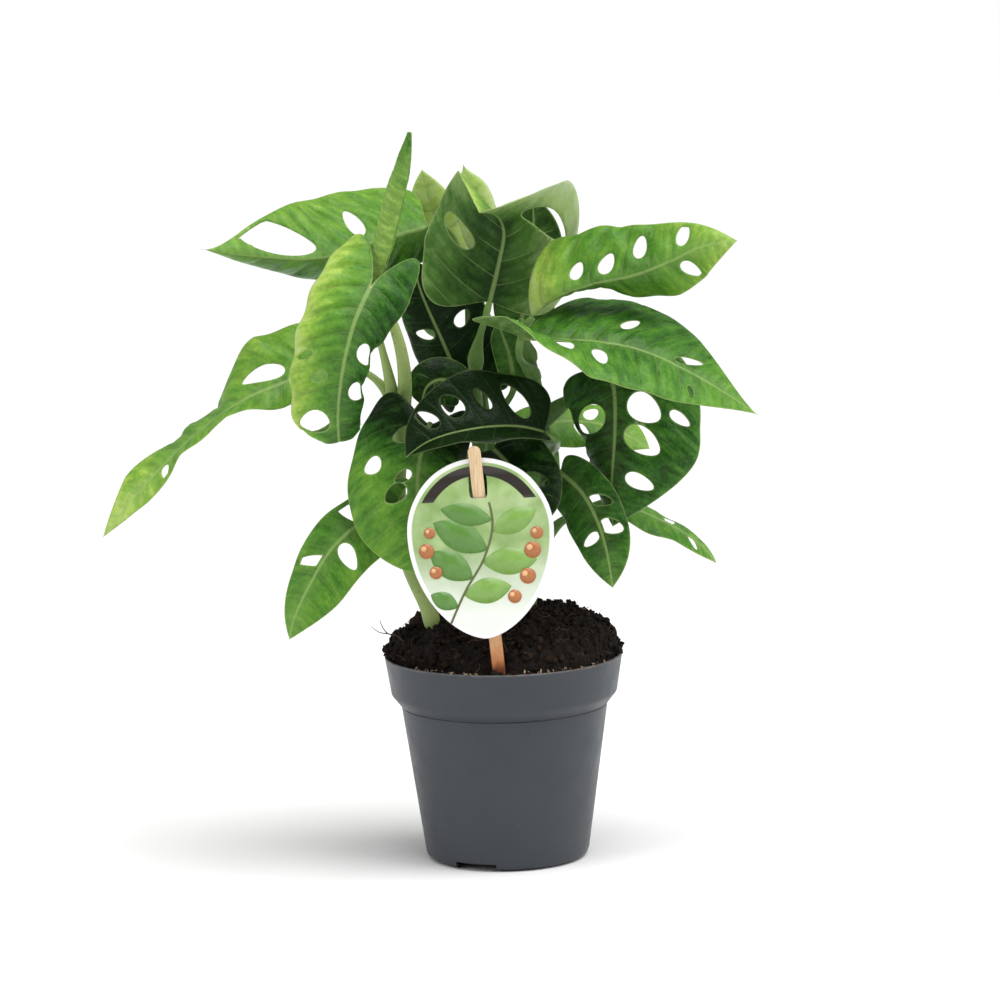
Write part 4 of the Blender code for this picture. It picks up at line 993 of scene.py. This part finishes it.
def blade(name):
    """One blade as a closed sheet.

    Its middle surface is the CAD's: flat points (along, across) carried on to the bent midrib. It is
    raised between side veins by 0.95 |sin(pi n)|^0.7 + 0.3 |sin(2 pi n)|^0.8 mm, where n counts the
    veins, and this falls to nothing at the rib and the margin. The margin is ruffled by 0.7 mm times
    the cube of the share across. Young blades are raised more, and those in PUCKER have more of both.
    The underside stands out along the veins as rounded ribs.
    """
    design = LEAVES[name]
    length = length_of(smooth(design["rib"], RIB_POINTS))
    flat, triangles, rim = leaf_flat(design, length)
    along, across = flat[:, 0], flat[:, 1]
    out = np.abs(across)
    counts = [vein_count(design, length, along, out, side) for side in (0, 1)]
    count = np.where(across > 0, *counts)
    away = np.abs(count - np.round(count)) * VEIN_GAP
    half = np.where(across > 0, *design["half"])
    rise = np.clip(out / 6, 0, 1) * np.clip(rim / 5, 0, 1) * np.clip(half / 30, 0.35, 1)
    rise = rise * (0.65 + 0.6 * max(YOUTH_AND_PAINTED_LIGHT[name][1], 0)) * PUCKER.get(name, 1)
    quilt = 0.95 * np.abs(np.sin(math.pi * count)) ** 0.7 + 0.3 * np.abs(np.sin(2 * math.pi * count)) ** 0.8
    ripple = 0.4 * np.sin(0.33 * along + 2 * np.sign(across)) * np.sin(0.21 * out + 0.09 * along)
    ruffle = 0.7 * design["wave"] * np.minimum(half / 25, 1) * (out / half) ** 3
    ruffle = ruffle * PUCKER.get(name, 1) * np.sin(0.29 * along + 1.3 * np.sign(across))
    middle = carry(flat, design)
    normals = surface_normals(middle, triangles)
    middle = middle + ((quilt + ripple) * rise + ruffle)[:, None] * normals
    normals = surface_normals(middle, triangles)
    taper = np.clip(1 - along / length, 0.08, 1)
    groove = 0.3 * np.exp(-((across / 1.1) ** 2))
    rib = 1.15 * taper**0.8 * np.exp(-((across / (0.45 + 0.9 * taper)) ** 2)) * (along > -1)
    side_rib = 0.22 * np.exp(-((away / 0.5) ** 2)) * np.clip(1.2 - out / half, 0, 1)
    edge = np.clip(rim / 1.2, 0.35, 1)
    upper = middle + (BLADE / 2 * edge - groove)[:, None] * normals
    lower = middle - (BLADE / 2 * edge + rib + side_rib)[:, None] * normals
    # These numbers give how young the blade looks, and for some blades painted shade and painted light too.
    at_left, at_rib, at_right, at_base, at_tip = YOUTH_AND_PAINTED_LIGHT[name]
    youth_and_painted_light = at_rib + (np.where(across > 0, at_left, at_right) - at_rib) * out / half
    youth_and_painted_light += at_base * np.clip(1 - along / length / 0.3, 0, 1)
    youth_and_painted_light += at_tip * np.clip((along / length - 0.6) / 0.4, 0, 1)
    values = {"along": along, "across": across, "veins": count, "rim": rim, "youth_and_painted_light": youth_and_painted_light,
              "tip": along / length}
    return closed_sheet(upper, lower, triangles, values)


def faded(tree, value, low, high):
    """1 where the value is below low, falling to 0 at high."""
    settings = {"Value": value, "From Min": low, "From Max": high, "To Min": 1.0, "To Max": 0.0}
    return node(tree, "ShaderNodeMapRange", settings).outputs[0]


def let_light_in(shader, weight, scale):
    """Scatters light inside green tissue: green goes deepest, blue least."""
    shader.inputs["Subsurface Weight"].default_value = weight
    shader.inputs["Subsurface Radius"].default_value = (0.35, 1.0, 0.15)
    shader.inputs["Subsurface Scale"].default_value = scale


def vein_pattern():
    """Group: masks of the midrib, the halo round it, the side veins and the painted shade in their
    creases, the fine net and the freckles, from the blade's own attributes in millimetres and vein counts."""
    group = bpy.data.node_groups.new("leaf_veins", "ShaderNodeTree")
    names = ("Midrib", "Halo", "Side veins", "Crease shade", "Net", "Freckles", "Blotches")
    for name in names:
        group.interface.new_socket(name, in_out="OUTPUT", socket_type="NodeSocketFloat")
    out = group.nodes.new("NodeGroupOutput")
    along, under, veins = (attribute(group, name) for name in ("along", "under", "veins"))
    signed = attribute(group, "across")
    across = maths(group, "ABSOLUTE", signed)
    wide = maths(group, "MULTIPLY_ADD", attribute(group, "tip"), -0.75, 1.15)
    midrib = faded(group, maths(group, "DIVIDE", across, wide), 0.55, 1.25)
    halo = faded(group, across, 0.8, 8.0)
    near = maths(group, "PINGPONG", veins, 0.5)
    inner = risen(group, attribute(group, "rim"), 0.5, 6.0)
    side = weighted(group, faded(group, near, 0.010, 0.035), inner)
    # Mask of the painted shade in the creases beside the side veins.
    crease = weighted(group, faded(group, near, 0.03, 0.17), inner)
    place = node(group, "ShaderNodeCombineXYZ", {"X": along, "Y": signed, "Z": under}).outputs[0]
    net = node(group, "ShaderNodeTexVoronoi", {"Vector": place, "Scale": 0.42, "Randomness": 1.0},
               feature="DISTANCE_TO_EDGE").outputs["Distance"]
    net = faded(group, net, 0.02, 0.16)
    freckle = noise(group, 0.5, 3, 0.6, at=place)
    drawn = node(group, "ShaderNodeCombineXYZ", {"X": veins, "Y": weighted(group, across, 0.03), "Z": under})
    blotch = noise(group, 3.2, 2, 0.5, at=drawn.outputs[0])
    for name, value in zip(names, (midrib, halo, side, crease, net, freckle, blotch)):
        group.links.new(value, out.inputs[name])
    return group


def leaf_skin():
    """Leaf colour from how young the blade looks and from painted light and shade, with painted shade in the
    creases beside the side veins, a pale midrib and margin, freckles and a greyer underside."""
    finish, tree, shader = material("leaf_skin", shine=0.12)
    veins = node(tree, "ShaderNodeGroup", node_tree=vein_pattern())
    midrib, halo, side, crease, net, freckle, blotch = (veins.outputs[k] for k in range(7))
    under = attribute(tree, "under")

    def added(value, extra, weight):
        """The value, moved up or down by the extra's distance from a half."""
        return maths(tree, "MULTIPLY_ADD", maths(tree, "SUBTRACT", extra, 0.5), weight, value)

    cloud = noise(tree, 55, 3)
    # The youth attribute also holds painted shade and painted light, so the ramps below paint them too.
    youth_and_painted_light = added(added(added(attribute(tree, "youth_and_painted_light"), cloud, 0.35), freckle, 0.35), blotch, 0.65)
    youth_and_painted_light = maths(tree, "DIVIDE", youth_and_painted_light, 1.4)
    top = ramp(tree, youth_and_painted_light, [(0.0, (0.0025, 0.0125, 0.0012)), (0.08, (0.009, 0.038, 0.004)),
                             (0.21, (0.024, 0.098, 0.010)),
                             (0.39, (0.078, 0.215, 0.022)), (0.57, (0.170, 0.330, 0.038)),
                             (0.71, (0.340, 0.480, 0.085)), (1.0, (0.48, 0.58, 0.30))])
    below = ramp(tree, youth_and_painted_light, [(0.0, (0.012, 0.040, 0.006)), (0.28, (0.060, 0.145, 0.024)),
                               (0.71, (0.300, 0.420, 0.150)), (1.0, (0.46, 0.55, 0.32))])
    shown = ramp(tree, youth_and_painted_light, [(0.0, 0.3), (0.25, 1.0)])
    top = coated(tree, top, weighted(tree, net, shown), 0.05, (0.20, 0.40, 0.10))
    # Painted shade: the creases beside the side veins are darkened, as where they fall in shadow.
    top = coated(tree, top, crease, 0.35, blend(tree, 0.55, top, (0.0, 0.01, 0.0)))
    top = coated(tree, top, weighted(tree, side, shown), 0.22, (0.24, 0.40, 0.10))
    below = coated(tree, below, side, 0.35, (0.26, 0.36, 0.13))
    colour = blend(tree, under, top, below)
    halo = weighted(tree, halo, attribute(tree, "youth_and_painted_light"))
    colour = coated(tree, colour, halo, 0.3, (0.30, 0.42, 0.15))
    colour = coated(tree, colour, midrib, 0.6, (0.28, 0.40, 0.13))
    margin = weighted(tree, faded(tree, attribute(tree, "rim"), 0.1, 0.8), shown)
    colour = coated(tree, colour, margin, 0.6, (0.34, 0.42, 0.17))
    tree.links.new(colour, shader.inputs["Base Color"])
    gloss = blend(tree, under, (0.30, 0.30, 0.30), (0.46, 0.46, 0.46))
    gloss = coated(tree, gloss, cloud, 0.5, (0.46, 0.46, 0.46))
    tree.links.new(gloss, shader.inputs["Roughness"])
    height = maths(tree, "MULTIPLY_ADD", net, -0.35, weighted(tree, noise(tree, 700, 2), 0.5))
    height = maths(tree, "MULTIPLY_ADD", side, -0.8, height)
    bumped(tree, shader, height, 0.00016)
    let_light_in(shader, 0.12, 0.0012)
    return finish


leaf_finish = leaf_skin()
for leaf_name, design in LEAVES.items():
    points, faces, values = blade(leaf_name)
    name = leaf_name.replace("leaf_", "blade_")
    piece(name, points, faces, leaf_finish, leaf_name, "leaf_" + design["tone"], values)

# Stems and leaf stalks
# Four stems stand in the soil, one cutting each. A stalk leaves its stem at a joint, is slightly
# swollen where it meets the blade, and runs on under the blade as the midrib.

STEM_RINGS = 90
STEM_SIDES = 20
STEM_POINTS = 200
STALK_RINGS = 60
STALK_SIDES = 16
STALK_POINTS = 40
STALK_STAND_OFF = 1.9
SHEATH_RADII = (0.8, 2.5, 2.7, 2.3, 1.9, 1.6, 1.6, 1.6, 1.9, 1.6)
SHEATH_SPREAD = (1, 1.5, 1.7, 1.5, 1.2, 1, 1, 1)

# A line runs up from the stem's foot in the soil. A stalk is (leaf, share of the stem where it leaves,
# pull of its bend, how it meets the blade: from below and from behind).
STEMS = {
    "stem_left": dict(
        line=[(-35, -6, 96), (-36, -6, 124), (-46, -10, 152), (-51, -6, 184), (-49, -6, 215),
              (-46, -10, 246), (-50, -21, 272), (-58.8, -28.5, 292.7)],
        radii=(4.3, 4.3, 4.2, 4.2, 3.9, 3.0, 1.9),
        stalks=[("leaf_low_left", 0.25, 0.4, (0.3, 1)), ("leaf_far_left", 0.6, 0.4, (0.3, 1)),
                ("leaf_front_left", 0.5, 0.45, (1, 0.1))],
    ),
    "stem_centre": dict(
        line=[(-6, 8, 96), (-7, 8, 125), (-9, 10, 181), (-10, 12, 222), (-11, 12, 246)],
        radii=(3.6, 3.4, 3.0, 2.4),
        stalks=[("leaf_centre_left", 0.45, 0.4, (1, 0.2)), ("leaf_behind_label", 0.5, 0.4, (1, 0.2)),
                ("leaf_inner_low", 0.7, 0.4, (0.5, 0.8)), ("leaf_inner_left", 0.6, 0.4, (0.1, 1)),
                ("leaf_inner_right", 0.75, 0.4, (0.1, 1)), ("leaf_top", 0.97, 0.4, (0, 1))],
    ),
    "stem_right": dict(
        line=[(12, 15, 96), (14, 15, 126), (20, 15, 169), (24, 14, 203), (21, 12, 231), (17, 8, 252)],
        radii=(3.6, 3.4, 3.0, 2.4),
        stalks=[("leaf_thin_right", 0.3, 0.4, (0.6, 0.8)), ("leaf_over_label", 0.66, 0.28, (0.3, 1)),
                ("leaf_low_right", 0.5, 0.4, (1, 0.2)), ("leaf_lower_right", 0.75, 0.4, (1, 0)),
                ("leaf_right", 0.9, 0.4, (1, 0.2)), ("leaf_upper_right", 0.97, 0.4, (0.2, 1))],
    ),
    "stem_back": dict(
        line=[(2, 32, 96), (2, 32, 126), (-2, 34, 180), (-8, 38, 230), (-12, 40, 256)],
        radii=(3.6, 3.4, 3.0, 2.4),
        stalks=[("leaf_back_low", 0.4, 0.4, (0.3, 1)), ("leaf_behind_right", 0.6, 0.4, (0.5, 0.8)),
                ("leaf_back_right", 0.8, 0.4, (0.3, 1)), ("leaf_back_left", 0.85, 0.4, (0.3, 1)),
                ("leaf_back_top", 0.93, 0.4, (0.2, 1)), ("leaf_upper_left", 0.9, 0.3, (0.1, 1)),
                ("leaf_top_back", 0.97, 0.4, (0.2, 1))],
    ),
}


def stalk_line(stem_line, share, pull, meets, design):
    """A leaf stalk's line, a cubic curve: it leaves along the stem and bends over to reach the blade."""
    rib, ahead, _, up = frame_of(design)
    place = int(share * (len(stem_line) - 1))
    start = stem_line[place]
    leave = unit(stem_line[place] - stem_line[place - 1])
    arrive = unit(meets[0] * up[0] + meets[1] * ahead[0])
    end = rib[0] - STALK_STAND_OFF * arrive
    reach = pull * np.linalg.norm(end - start)
    first, second = start + reach * leave, end - reach * arrive
    t = np.linspace(0, 1, STALK_POINTS)[:, None]
    s = 1 - t
    line = s**3 * start + 3 * s**2 * t * first + 3 * s * t**2 * second + t**3 * end
    return np.vstack([line, rib[0] - 0.5 * up[0]])


def stem_shapes(design):
    """A stem and its stalks as tubes. A stalk is sheathed, so it starts narrow inside the stem, is wide
    and flat just above, falls to a radius of 1.6 mm and swells again at the blade."""
    shapes = [hose(smooth(design["line"], STEM_RINGS), design["radii"], STEM_SIDES)]
    fine = smooth(design["line"], STEM_POINTS)
    for leaf_name, share, pull, meets in design["stalks"]:
        line = stalk_line(fine, share, pull, meets, LEAVES[leaf_name])
        shapes.append(hose(even(line, STALK_RINGS), SHEATH_RADII, STALK_SIDES, SHEATH_SPREAD))
    return joined(shapes)


def stem_tone(name, points):
    """How pale the skin is: 0.8 for the front stem and 0.3 for the shaded ones, more near the soil and
    where the stalks reach the light."""
    high = points[:, 2]
    tone = 0.8 if name == "stem_left" else 0.3
    return tone + 0.35 * np.clip((high - 240) / 50, 0, 1) + 0.3 * np.clip((150 - high) / 40, 0, 1)


def stem_skin():
    """Waxy green skin with fine streaks along the stem, from deep green to pale yellow-green by its
    tone, and a few brown specks."""
    finish, tree, shader = material("stem_skin", rough=0.42, shine=0.3)
    place = node(tree, "ShaderNodeTexCoord").outputs["Object"]
    stretched = node(tree, "ShaderNodeMapping", {"Vector": place, "Scale": (1, 1, 0.12)}).outputs[0]
    streak = noise(tree, 700, 3, 0.6, at=stretched)
    cloud = noise(tree, 45, 3)
    tone = attribute(tree, "tone")
    tone = maths(tree, "MULTIPLY_ADD", maths(tree, "SUBTRACT", cloud, 0.5), 0.5, tone)
    colour = ramp(tree, tone, [(0.0, (0.018, 0.062, 0.008)), (0.35, (0.06, 0.15, 0.022)),
                               (0.7, (0.17, 0.29, 0.06)), (1.0, (0.30, 0.39, 0.12))])
    colour = coated(tree, colour, streak, 0.25, blend(tree, 0.5, colour, (0.40, 0.48, 0.20)))
    specks = ramp(tree, noise(tree, 520, 2, 0.5), [(0.71, 0.0), (0.74, 1.0)])
    colour = coated(tree, colour, specks, 0.7, (0.07, 0.035, 0.015))
    tree.links.new(colour, shader.inputs["Base Color"])
    let_light_in(shader, 0.1, 0.0015)
    bumped(tree, shader, streak, 0.0003)
    return finish


stem_finish = stem_skin()
for stem_name, design in STEMS.items():
    points, faces = stem_shapes(design)
    tone = {"tone": stem_tone(stem_name, points)}
    piece(stem_name + "_and_stalks", points, faces, stem_finish, stem_name, "stem", tone)

# Rolled leaf
# The newest leaf is still rolled, one edge over the other, in a slim cone that will open later. It is
# a thin sheet wound one and a third times, and stands at the top of the left stem.

ROLLED_LINE = [(-59, -29, 294.5), (-55, -28, 311), (-48.5, -32, 337), (-43, -36, 356.5), (-40, -38, 370.5)]
ROLLED_RADII = (1.6, 3.6, 4.9, 5.2, 5.1, 4.5, 3.2, 0.9)
ROLLED_LENGTH = 95
ROLLED_ROWS = 90
ROLLED_COLUMNS = 64


def rolled_sheet():
    """A spiral: a point at share t along and angle a stands 1.08 r(t) (0.72 + 0.28 a / a_end) from the
    line, with a up to 1.35 turns. The start of the turn drifts along the cone, so the free edge runs
    down it aslant. Low cross ridges and flutes change the distance by 3 %."""
    rows, columns = ROLLED_ROWS, ROLLED_COLUMNS
    t = np.linspace(0, 1, rows)
    foot = np.array(ROLLED_LINE[0]) - (0.4, 0.1, 2.6)
    line = smooth([tuple(foot), *ROLLED_LINE], rows)
    radii = stretched(ROLLED_RADII, rows)
    ahead = unit(np.gradient(line, axis=0))
    side = unit(np.cross(ahead, (0.2, 1.0, 0.1)))
    other = np.cross(ahead, side)
    a = np.linspace(0, 2.7 * math.pi, columns)
    turn = 0.15 + 0.4 * t[:, None] + a[None, :]
    spread = 0.72 + 0.28 * a / a[-1]
    wave = 1 + 0.03 * np.sin(turn * 5 + 30 * t[:, None])
    wave += 0.035 * np.abs(np.sin(70 * t[:, None] + 0.6 * turn))
    distance = (1.08 * radii[:, None] * spread[None, :] * wave)[:, :, None]
    ring = np.cos(turn)[:, :, None] * side[:, None] + np.sin(turn)[:, :, None] * other[:, None]
    points = (line[:, None] + distance * ring).reshape(-1, 3)
    row, column = np.mgrid[:rows - 1, :columns - 1]
    first = (row * columns + column).ravel()
    upper = np.stack([first, first + 1, first + columns + 1], axis=1)
    lower = np.stack([first, first + columns + 1, first + columns], axis=1)
    return points, np.vstack([upper, lower])


def rolled_leaf():
    """The spiral sheet, 0.4 mm thick, closed along its edges, with the leaf's attributes."""
    middle, triangles = rolled_sheet()
    normals = surface_normals(middle, triangles)
    around = np.tile(np.arange(float(ROLLED_COLUMNS)), ROLLED_ROWS)
    along = np.repeat(np.linspace(0, ROLLED_LENGTH, ROLLED_ROWS), ROLLED_COLUMNS)
    tip = along / ROLLED_LENGTH
    # Painted shade: a dark line on the inner layer just past the outer layer's free edge, where that edge
    # casts its shadow.
    seam_shade = np.exp(-(((around - 18.5) / 2.0) ** 2))
    edge = 0.8 * np.minimum(ROLLED_COLUMNS - 1 - around, around)
    values = {"along": along, "across": 8 + around, "veins": along / 9 + around / 40, "rim": edge + 0.4,
              "youth_and_painted_light": 0.86 - 0.45 * tip**3 - 0.28 * seam_shade, "tip": tip}
    return closed_sheet(middle + 0.2 * normals, middle - 0.2 * normals, triangles, values, (0.3, 0.3))


points, faces, values = rolled_leaf()
piece("rolled_blade", points, faces, leaf_finish, "rolled_leaf", "leaf_light", values)

# Label
# A coated card, die-cut as an egg, with a slot near its top. The stick stands in the soil and goes
# through the slot: above it the card is behind the stick, and below it in front. The print is a plain
# garden motif.

STICK_FOOT = (-0.6, -50.0, 84.0)
STICK_TOP = (-12.4, -56.0, 218.0)
STICK_WIDTH = 6.3
STICK_THICK = 2.0
SLOT_DROP = 20.0
CARD = 0.6
CARD_LEAN = (-3.0, -4.0, 90.0)
CARD_RADIUS = 36.0
CARD_DROP = 22.5
CARD_POINT = 54.0
CARD_SLOT = (9.0, 12.0)
CARD_STEP = 2.0
CARD_CELL = 1.6
CARD_CORNERS = 180
STICK_SIDES = 28
DOT_CORNERS = 28


def signed_power(values, power):
    """Each value's size raised to a power, with the value's sign: it squares or sharpens a circle."""
    return np.sign(values) * np.abs(values) ** power


def label_axes(along):
    """Across, along and forward directions of the label's plane, for a piece that runs along this."""
    along = unit(np.array(along, float))
    forward = unit(np.cross((1, 0, 0), np.array(STICK_TOP) - STICK_FOOT))
    along = unit(along - (along @ forward) * forward)
    return np.cross(along, forward), along, forward


def label_stick():
    """A flat stick: at each height its section is |x/w|^5 + |y/d|^3 = 1, and w falls to nothing over
    the last half width as a half circle. The attribute up is the share of its length."""
    axis = np.array(STICK_TOP) - STICK_FOOT
    across, along, forward = label_axes(axis)
    length = np.linalg.norm(axis)
    half = STICK_WIDTH / 2
    rounded = length - half + half * np.sin(np.linspace(0.1, 1.52, 14))
    t = np.concatenate([np.linspace(0, length - half, 60), rounded])
    wide = half * np.sqrt(np.clip(1 - (np.clip(t - length + half, 0, None) / half) ** 2, 0.003, 1))
    thick = np.full(len(t), STICK_THICK / 2) * np.clip((length - t + 0.4) / 1.2, 0.3, 1)
    a = circle(STICK_SIDES)
    x = signed_power(np.cos(a), 2 / 5)
    y = signed_power(np.sin(a), 2 / 3)
    points = (np.array(STICK_FOOT) + t[:, None, None] * along + (wide[:, None] * x)[:, :, None] * across
              + (thick[:, None] * y)[:, :, None] * forward).reshape(-1, 3)
    tips = np.vstack([np.array(STICK_FOOT), np.array(STICK_FOOT) + length * along])
    faces = [np.roll(part[:, ::-1], 1, axis=1) for part in ring_faces(len(t), STICK_SIDES)]
    up = np.concatenate([np.repeat(t / length, STICK_SIDES), [0, 1]])
    return np.vstack([points, tips]), faces, {"up": up}


def stick_wood():
    """Pale birch with long grain, stained rust-red where it has stood in wet soil."""
    finish, tree, shader = material("stick_wood", rough=0.62)
    place = node(tree, "ShaderNodeTexCoord").outputs["Object"]
    long_grain = node(tree, "ShaderNodeMapping", {"Vector": place, "Scale": (1, 1, 0.05)}).outputs[0]
    grain = noise(tree, 1500, 3, 0.6, at=long_grain)
    colour = ramp(tree, grain, [(0.3, (0.56, 0.38, 0.20)), (0.6, (0.74, 0.55, 0.34)),
                                (0.8, (0.80, 0.64, 0.44))])
    uneven = maths(tree, "SUBTRACT", noise(tree, 260, 3), 0.5)
    soak = maths(tree, "MULTIPLY_ADD", uneven, 0.08, attribute(tree, "up"))
    stain = ramp(tree, soak, [(0.16, 1.0), (0.21, 0.85), (0.28, 0.5), (0.38, 0.15), (0.5, 0.0)])
    colour = blend(tree, stain, colour, (0.46, 0.15, 0.03))
    colour = blend(tree, ramp(tree, soak, [(0.155, 0.85), (0.195, 0.0)]), colour, (0.12, 0.028, 0.008))
    tree.links.new(colour, shader.inputs["Base Color"])
    bumped(tree, shader, grain, 0.00025)
    return finish


def card_outline(count):
    """The card's edge: a half circle above its widest place and a blunt point below it."""
    a = circle(count)
    lower = np.sin(a) < 0
    x = signed_power(np.cos(a), np.where(lower, 1.2, 1))
    y = np.sin(a) * np.where(lower, CARD_POINT, CARD_RADIUS)
    return np.stack([CARD_RADIUS * x, y - CARD_DROP], axis=1)


def on_card(flat, lift):
    """Flat card points in place: the card steps from behind the stick above the slot to in front below."""
    across, along, forward = label_axes(CARD_LEAN)
    top = np.array(STICK_TOP)
    middle = top + SLOT_DROP * unit(np.array(STICK_FOOT) - top)
    share = np.clip(flat[:, 1] / (CARD_SLOT[1] / 2), -1, 1)
    step = -CARD_STEP * (1.5 * share - 0.5 * share**3)
    return middle + flat[:, :1] * across + flat[:, 1:] * along + (step + lift)[:, None] * forward


def card_sheet():
    """The card as a closed sheet with a rounded slot, 0.6 mm thick, with its distance from the edge."""
    outline = card_outline(CARD_CORNERS)
    a = circle(HOLE_POINTS)
    slot = signed_power(np.stack([np.cos(a), np.sin(a)], axis=1), 0.4) * CARD_SLOT / 2
    flat, triangles, _ = flat_mesh(outline, [slot], CARD_CELL, [])
    edge = np.linalg.norm(flat[:, None] - card_outline(4 * CARD_CORNERS)[None], axis=2).min(axis=1)
    values = {"edge": edge, "x": flat[:, 0], "y": flat[:, 1]}
    return closed_sheet(on_card(flat, CARD / 2), on_card(flat, -CARD / 2), triangles, values)


def card_print():
    """White coated card with a white border 2 mm wide. The front has a green field that fades to white
    at the foot, under a dark band that follows the top edge. The back is bare."""
    finish, tree, shader = material("card_print", rough=0.3)
    x, y, edge = (attribute(tree, name) for name in ("x", "y", "edge"))
    place = node(tree, "ShaderNodeCombineXYZ", {"X": x, "Y": y}).outputs[0]
    wash = noise(tree, 0.06, 3, 0.5, at=place)
    field = ramp(tree, wash, [(0.35, (0.22, 0.36, 0.10)), (0.65, (0.42, 0.56, 0.26))])
    field = blend(tree, risen(tree, y, -30.0, -64.0), field, (0.82, 0.86, 0.79))
    band = weighted(tree, faded(tree, edge, 8.6, 8.9), risen(tree, edge, 3.6, 3.9))
    band = weighted(tree, band, risen(tree, y, -7.0, -6.6))
    field = blend(tree, band, field, (0.028, 0.022, 0.018))
    front = maths(tree, "SUBTRACT", 1.0, attribute(tree, "under"))
    printed = weighted(tree, risen(tree, edge, 2.0, 2.4), front)
    tree.links.new(blend(tree, printed, (0.86, 0.86, 0.86), field), shader.inputs["Base Color"])
    bumped(tree, shader, noise(tree, 900, 2), 0.00003)
    return finish


def ink(name, outlines, colour, proud=0.05):
    """Flat printed shapes, each filled from side to side, proud of the card and closed below. Each
    stands 0.02 mm above the one before it, so that they can overlap."""
    shapes = []
    for outline in outlines:
        count = len(outline)
        points = np.vstack([on_card(outline, CARD / 2 + lift) for lift in (proud, -0.05)])
        proud += 0.02
        i, j = np.arange(count), (np.arange(count) + 1) % count
        walls = np.stack([j, i, i + count, j + count], axis=1)
        near = np.arange(count // 2 - 1)
        far = count - 1 - near
        fill = np.vstack([np.column_stack([near, near + 1, far - 1]), np.column_stack([near, far - 1, far])])
        shapes.append((points, [walls, np.vstack([fill, fill[:, ::-1] + count])]))
    finish, tree, shader = material(name, rough=0.3)
    dark, pale = (tuple(share * part for part in colour) for share in (0.8, 1.25))
    tree.links.new(blend(tree, noise(tree, 220, 3), dark, pale), shader.inputs["Base Color"])
    return piece(name, *joined(shapes), finish, "label_card", "label_card", smooth=False)


def leaflet(at, angle, length, width):
    """A pointed oval: half its width is w/2 sin(pi t)^0.8 at share t of its length, turned and moved."""
    t = np.linspace(0, 1, 15)
    half = width / 2 * np.sin(math.pi * t) ** 0.8
    near, far = (np.stack([length * t, side * half], axis=1) for side in (-1, 1))
    return rotated(np.vstack([near, far[-2:0:-1]]), angle) + at


def dot(at, radius):
    """A round spot."""
    return polar(radius, circle(DOT_CORNERS), 0.0)[:, :2] + at


def strip(line, width):
    """A band of even width along a flat line."""
    line = smooth(line, 24)
    way = unit(np.gradient(line, axis=0))
    aside = np.stack([-way[:, 1], way[:, 0]], axis=1) * width / 2
    return np.vstack([line - aside, (line + aside)[::-1]])


points, faces, values = label_stick()
piece("label_stick_wood", points, faces, stick_wood(), "label_stick", "label_stick", values)
points, faces, values = card_sheet()
card_made = piece("label_card_sheet", points, faces, card_print(), "label_card", "label_card", values)
card_made.data.set_sharp_from_angle(angle=math.radians(50))
SPRIG = [(-17, -68), (-9, -52), (1, -36), (6, -20), (5, -8)]
SPRIG_LEAVES = [(-13, -60, 152, 15, 9), (-10, -54, 8, 24, 13), (-5, -46, 145, 25, 14), (0, -38, 0, 27, 14),
                (3, -32, 150, 30, 15), (6, -23, 25, 24, 12), (6, -17, 165, 26, 11)]
leaves = [leaflet((x, y), *shape) for x, y, *shape in SPRIG_LEAVES]
ink("sprig_leaves", leaves[::2], (0.10, 0.24, 0.04))
ink("sprig_young_leaves", leaves[1::2], (0.20, 0.37, 0.075), 0.06)
ink("sprig_stalk", [strip(SPRIG, 1.1)], (0.10, 0.12, 0.03), 0.14)
FRUIT = [(25, -33, 4.2), (22, -46, 4.0), (15, -56, 3.4), (27.5, -24.5, 3.2), (-27, -31, 3.8), (-23, -42, 3.2),
         (-25, -22, 2.8)]
ink("sprig_fruit", [dot((x, y), radius) for x, y, radius in FRUIT], (0.42, 0.15, 0.045), 0.14)
shine = [dot((x - radius / 3, y + radius / 3), radius / 3) for x, y, radius in FRUIT]
ink("fruit_shine", shine, (0.75, 0.45, 0.22), 0.2)
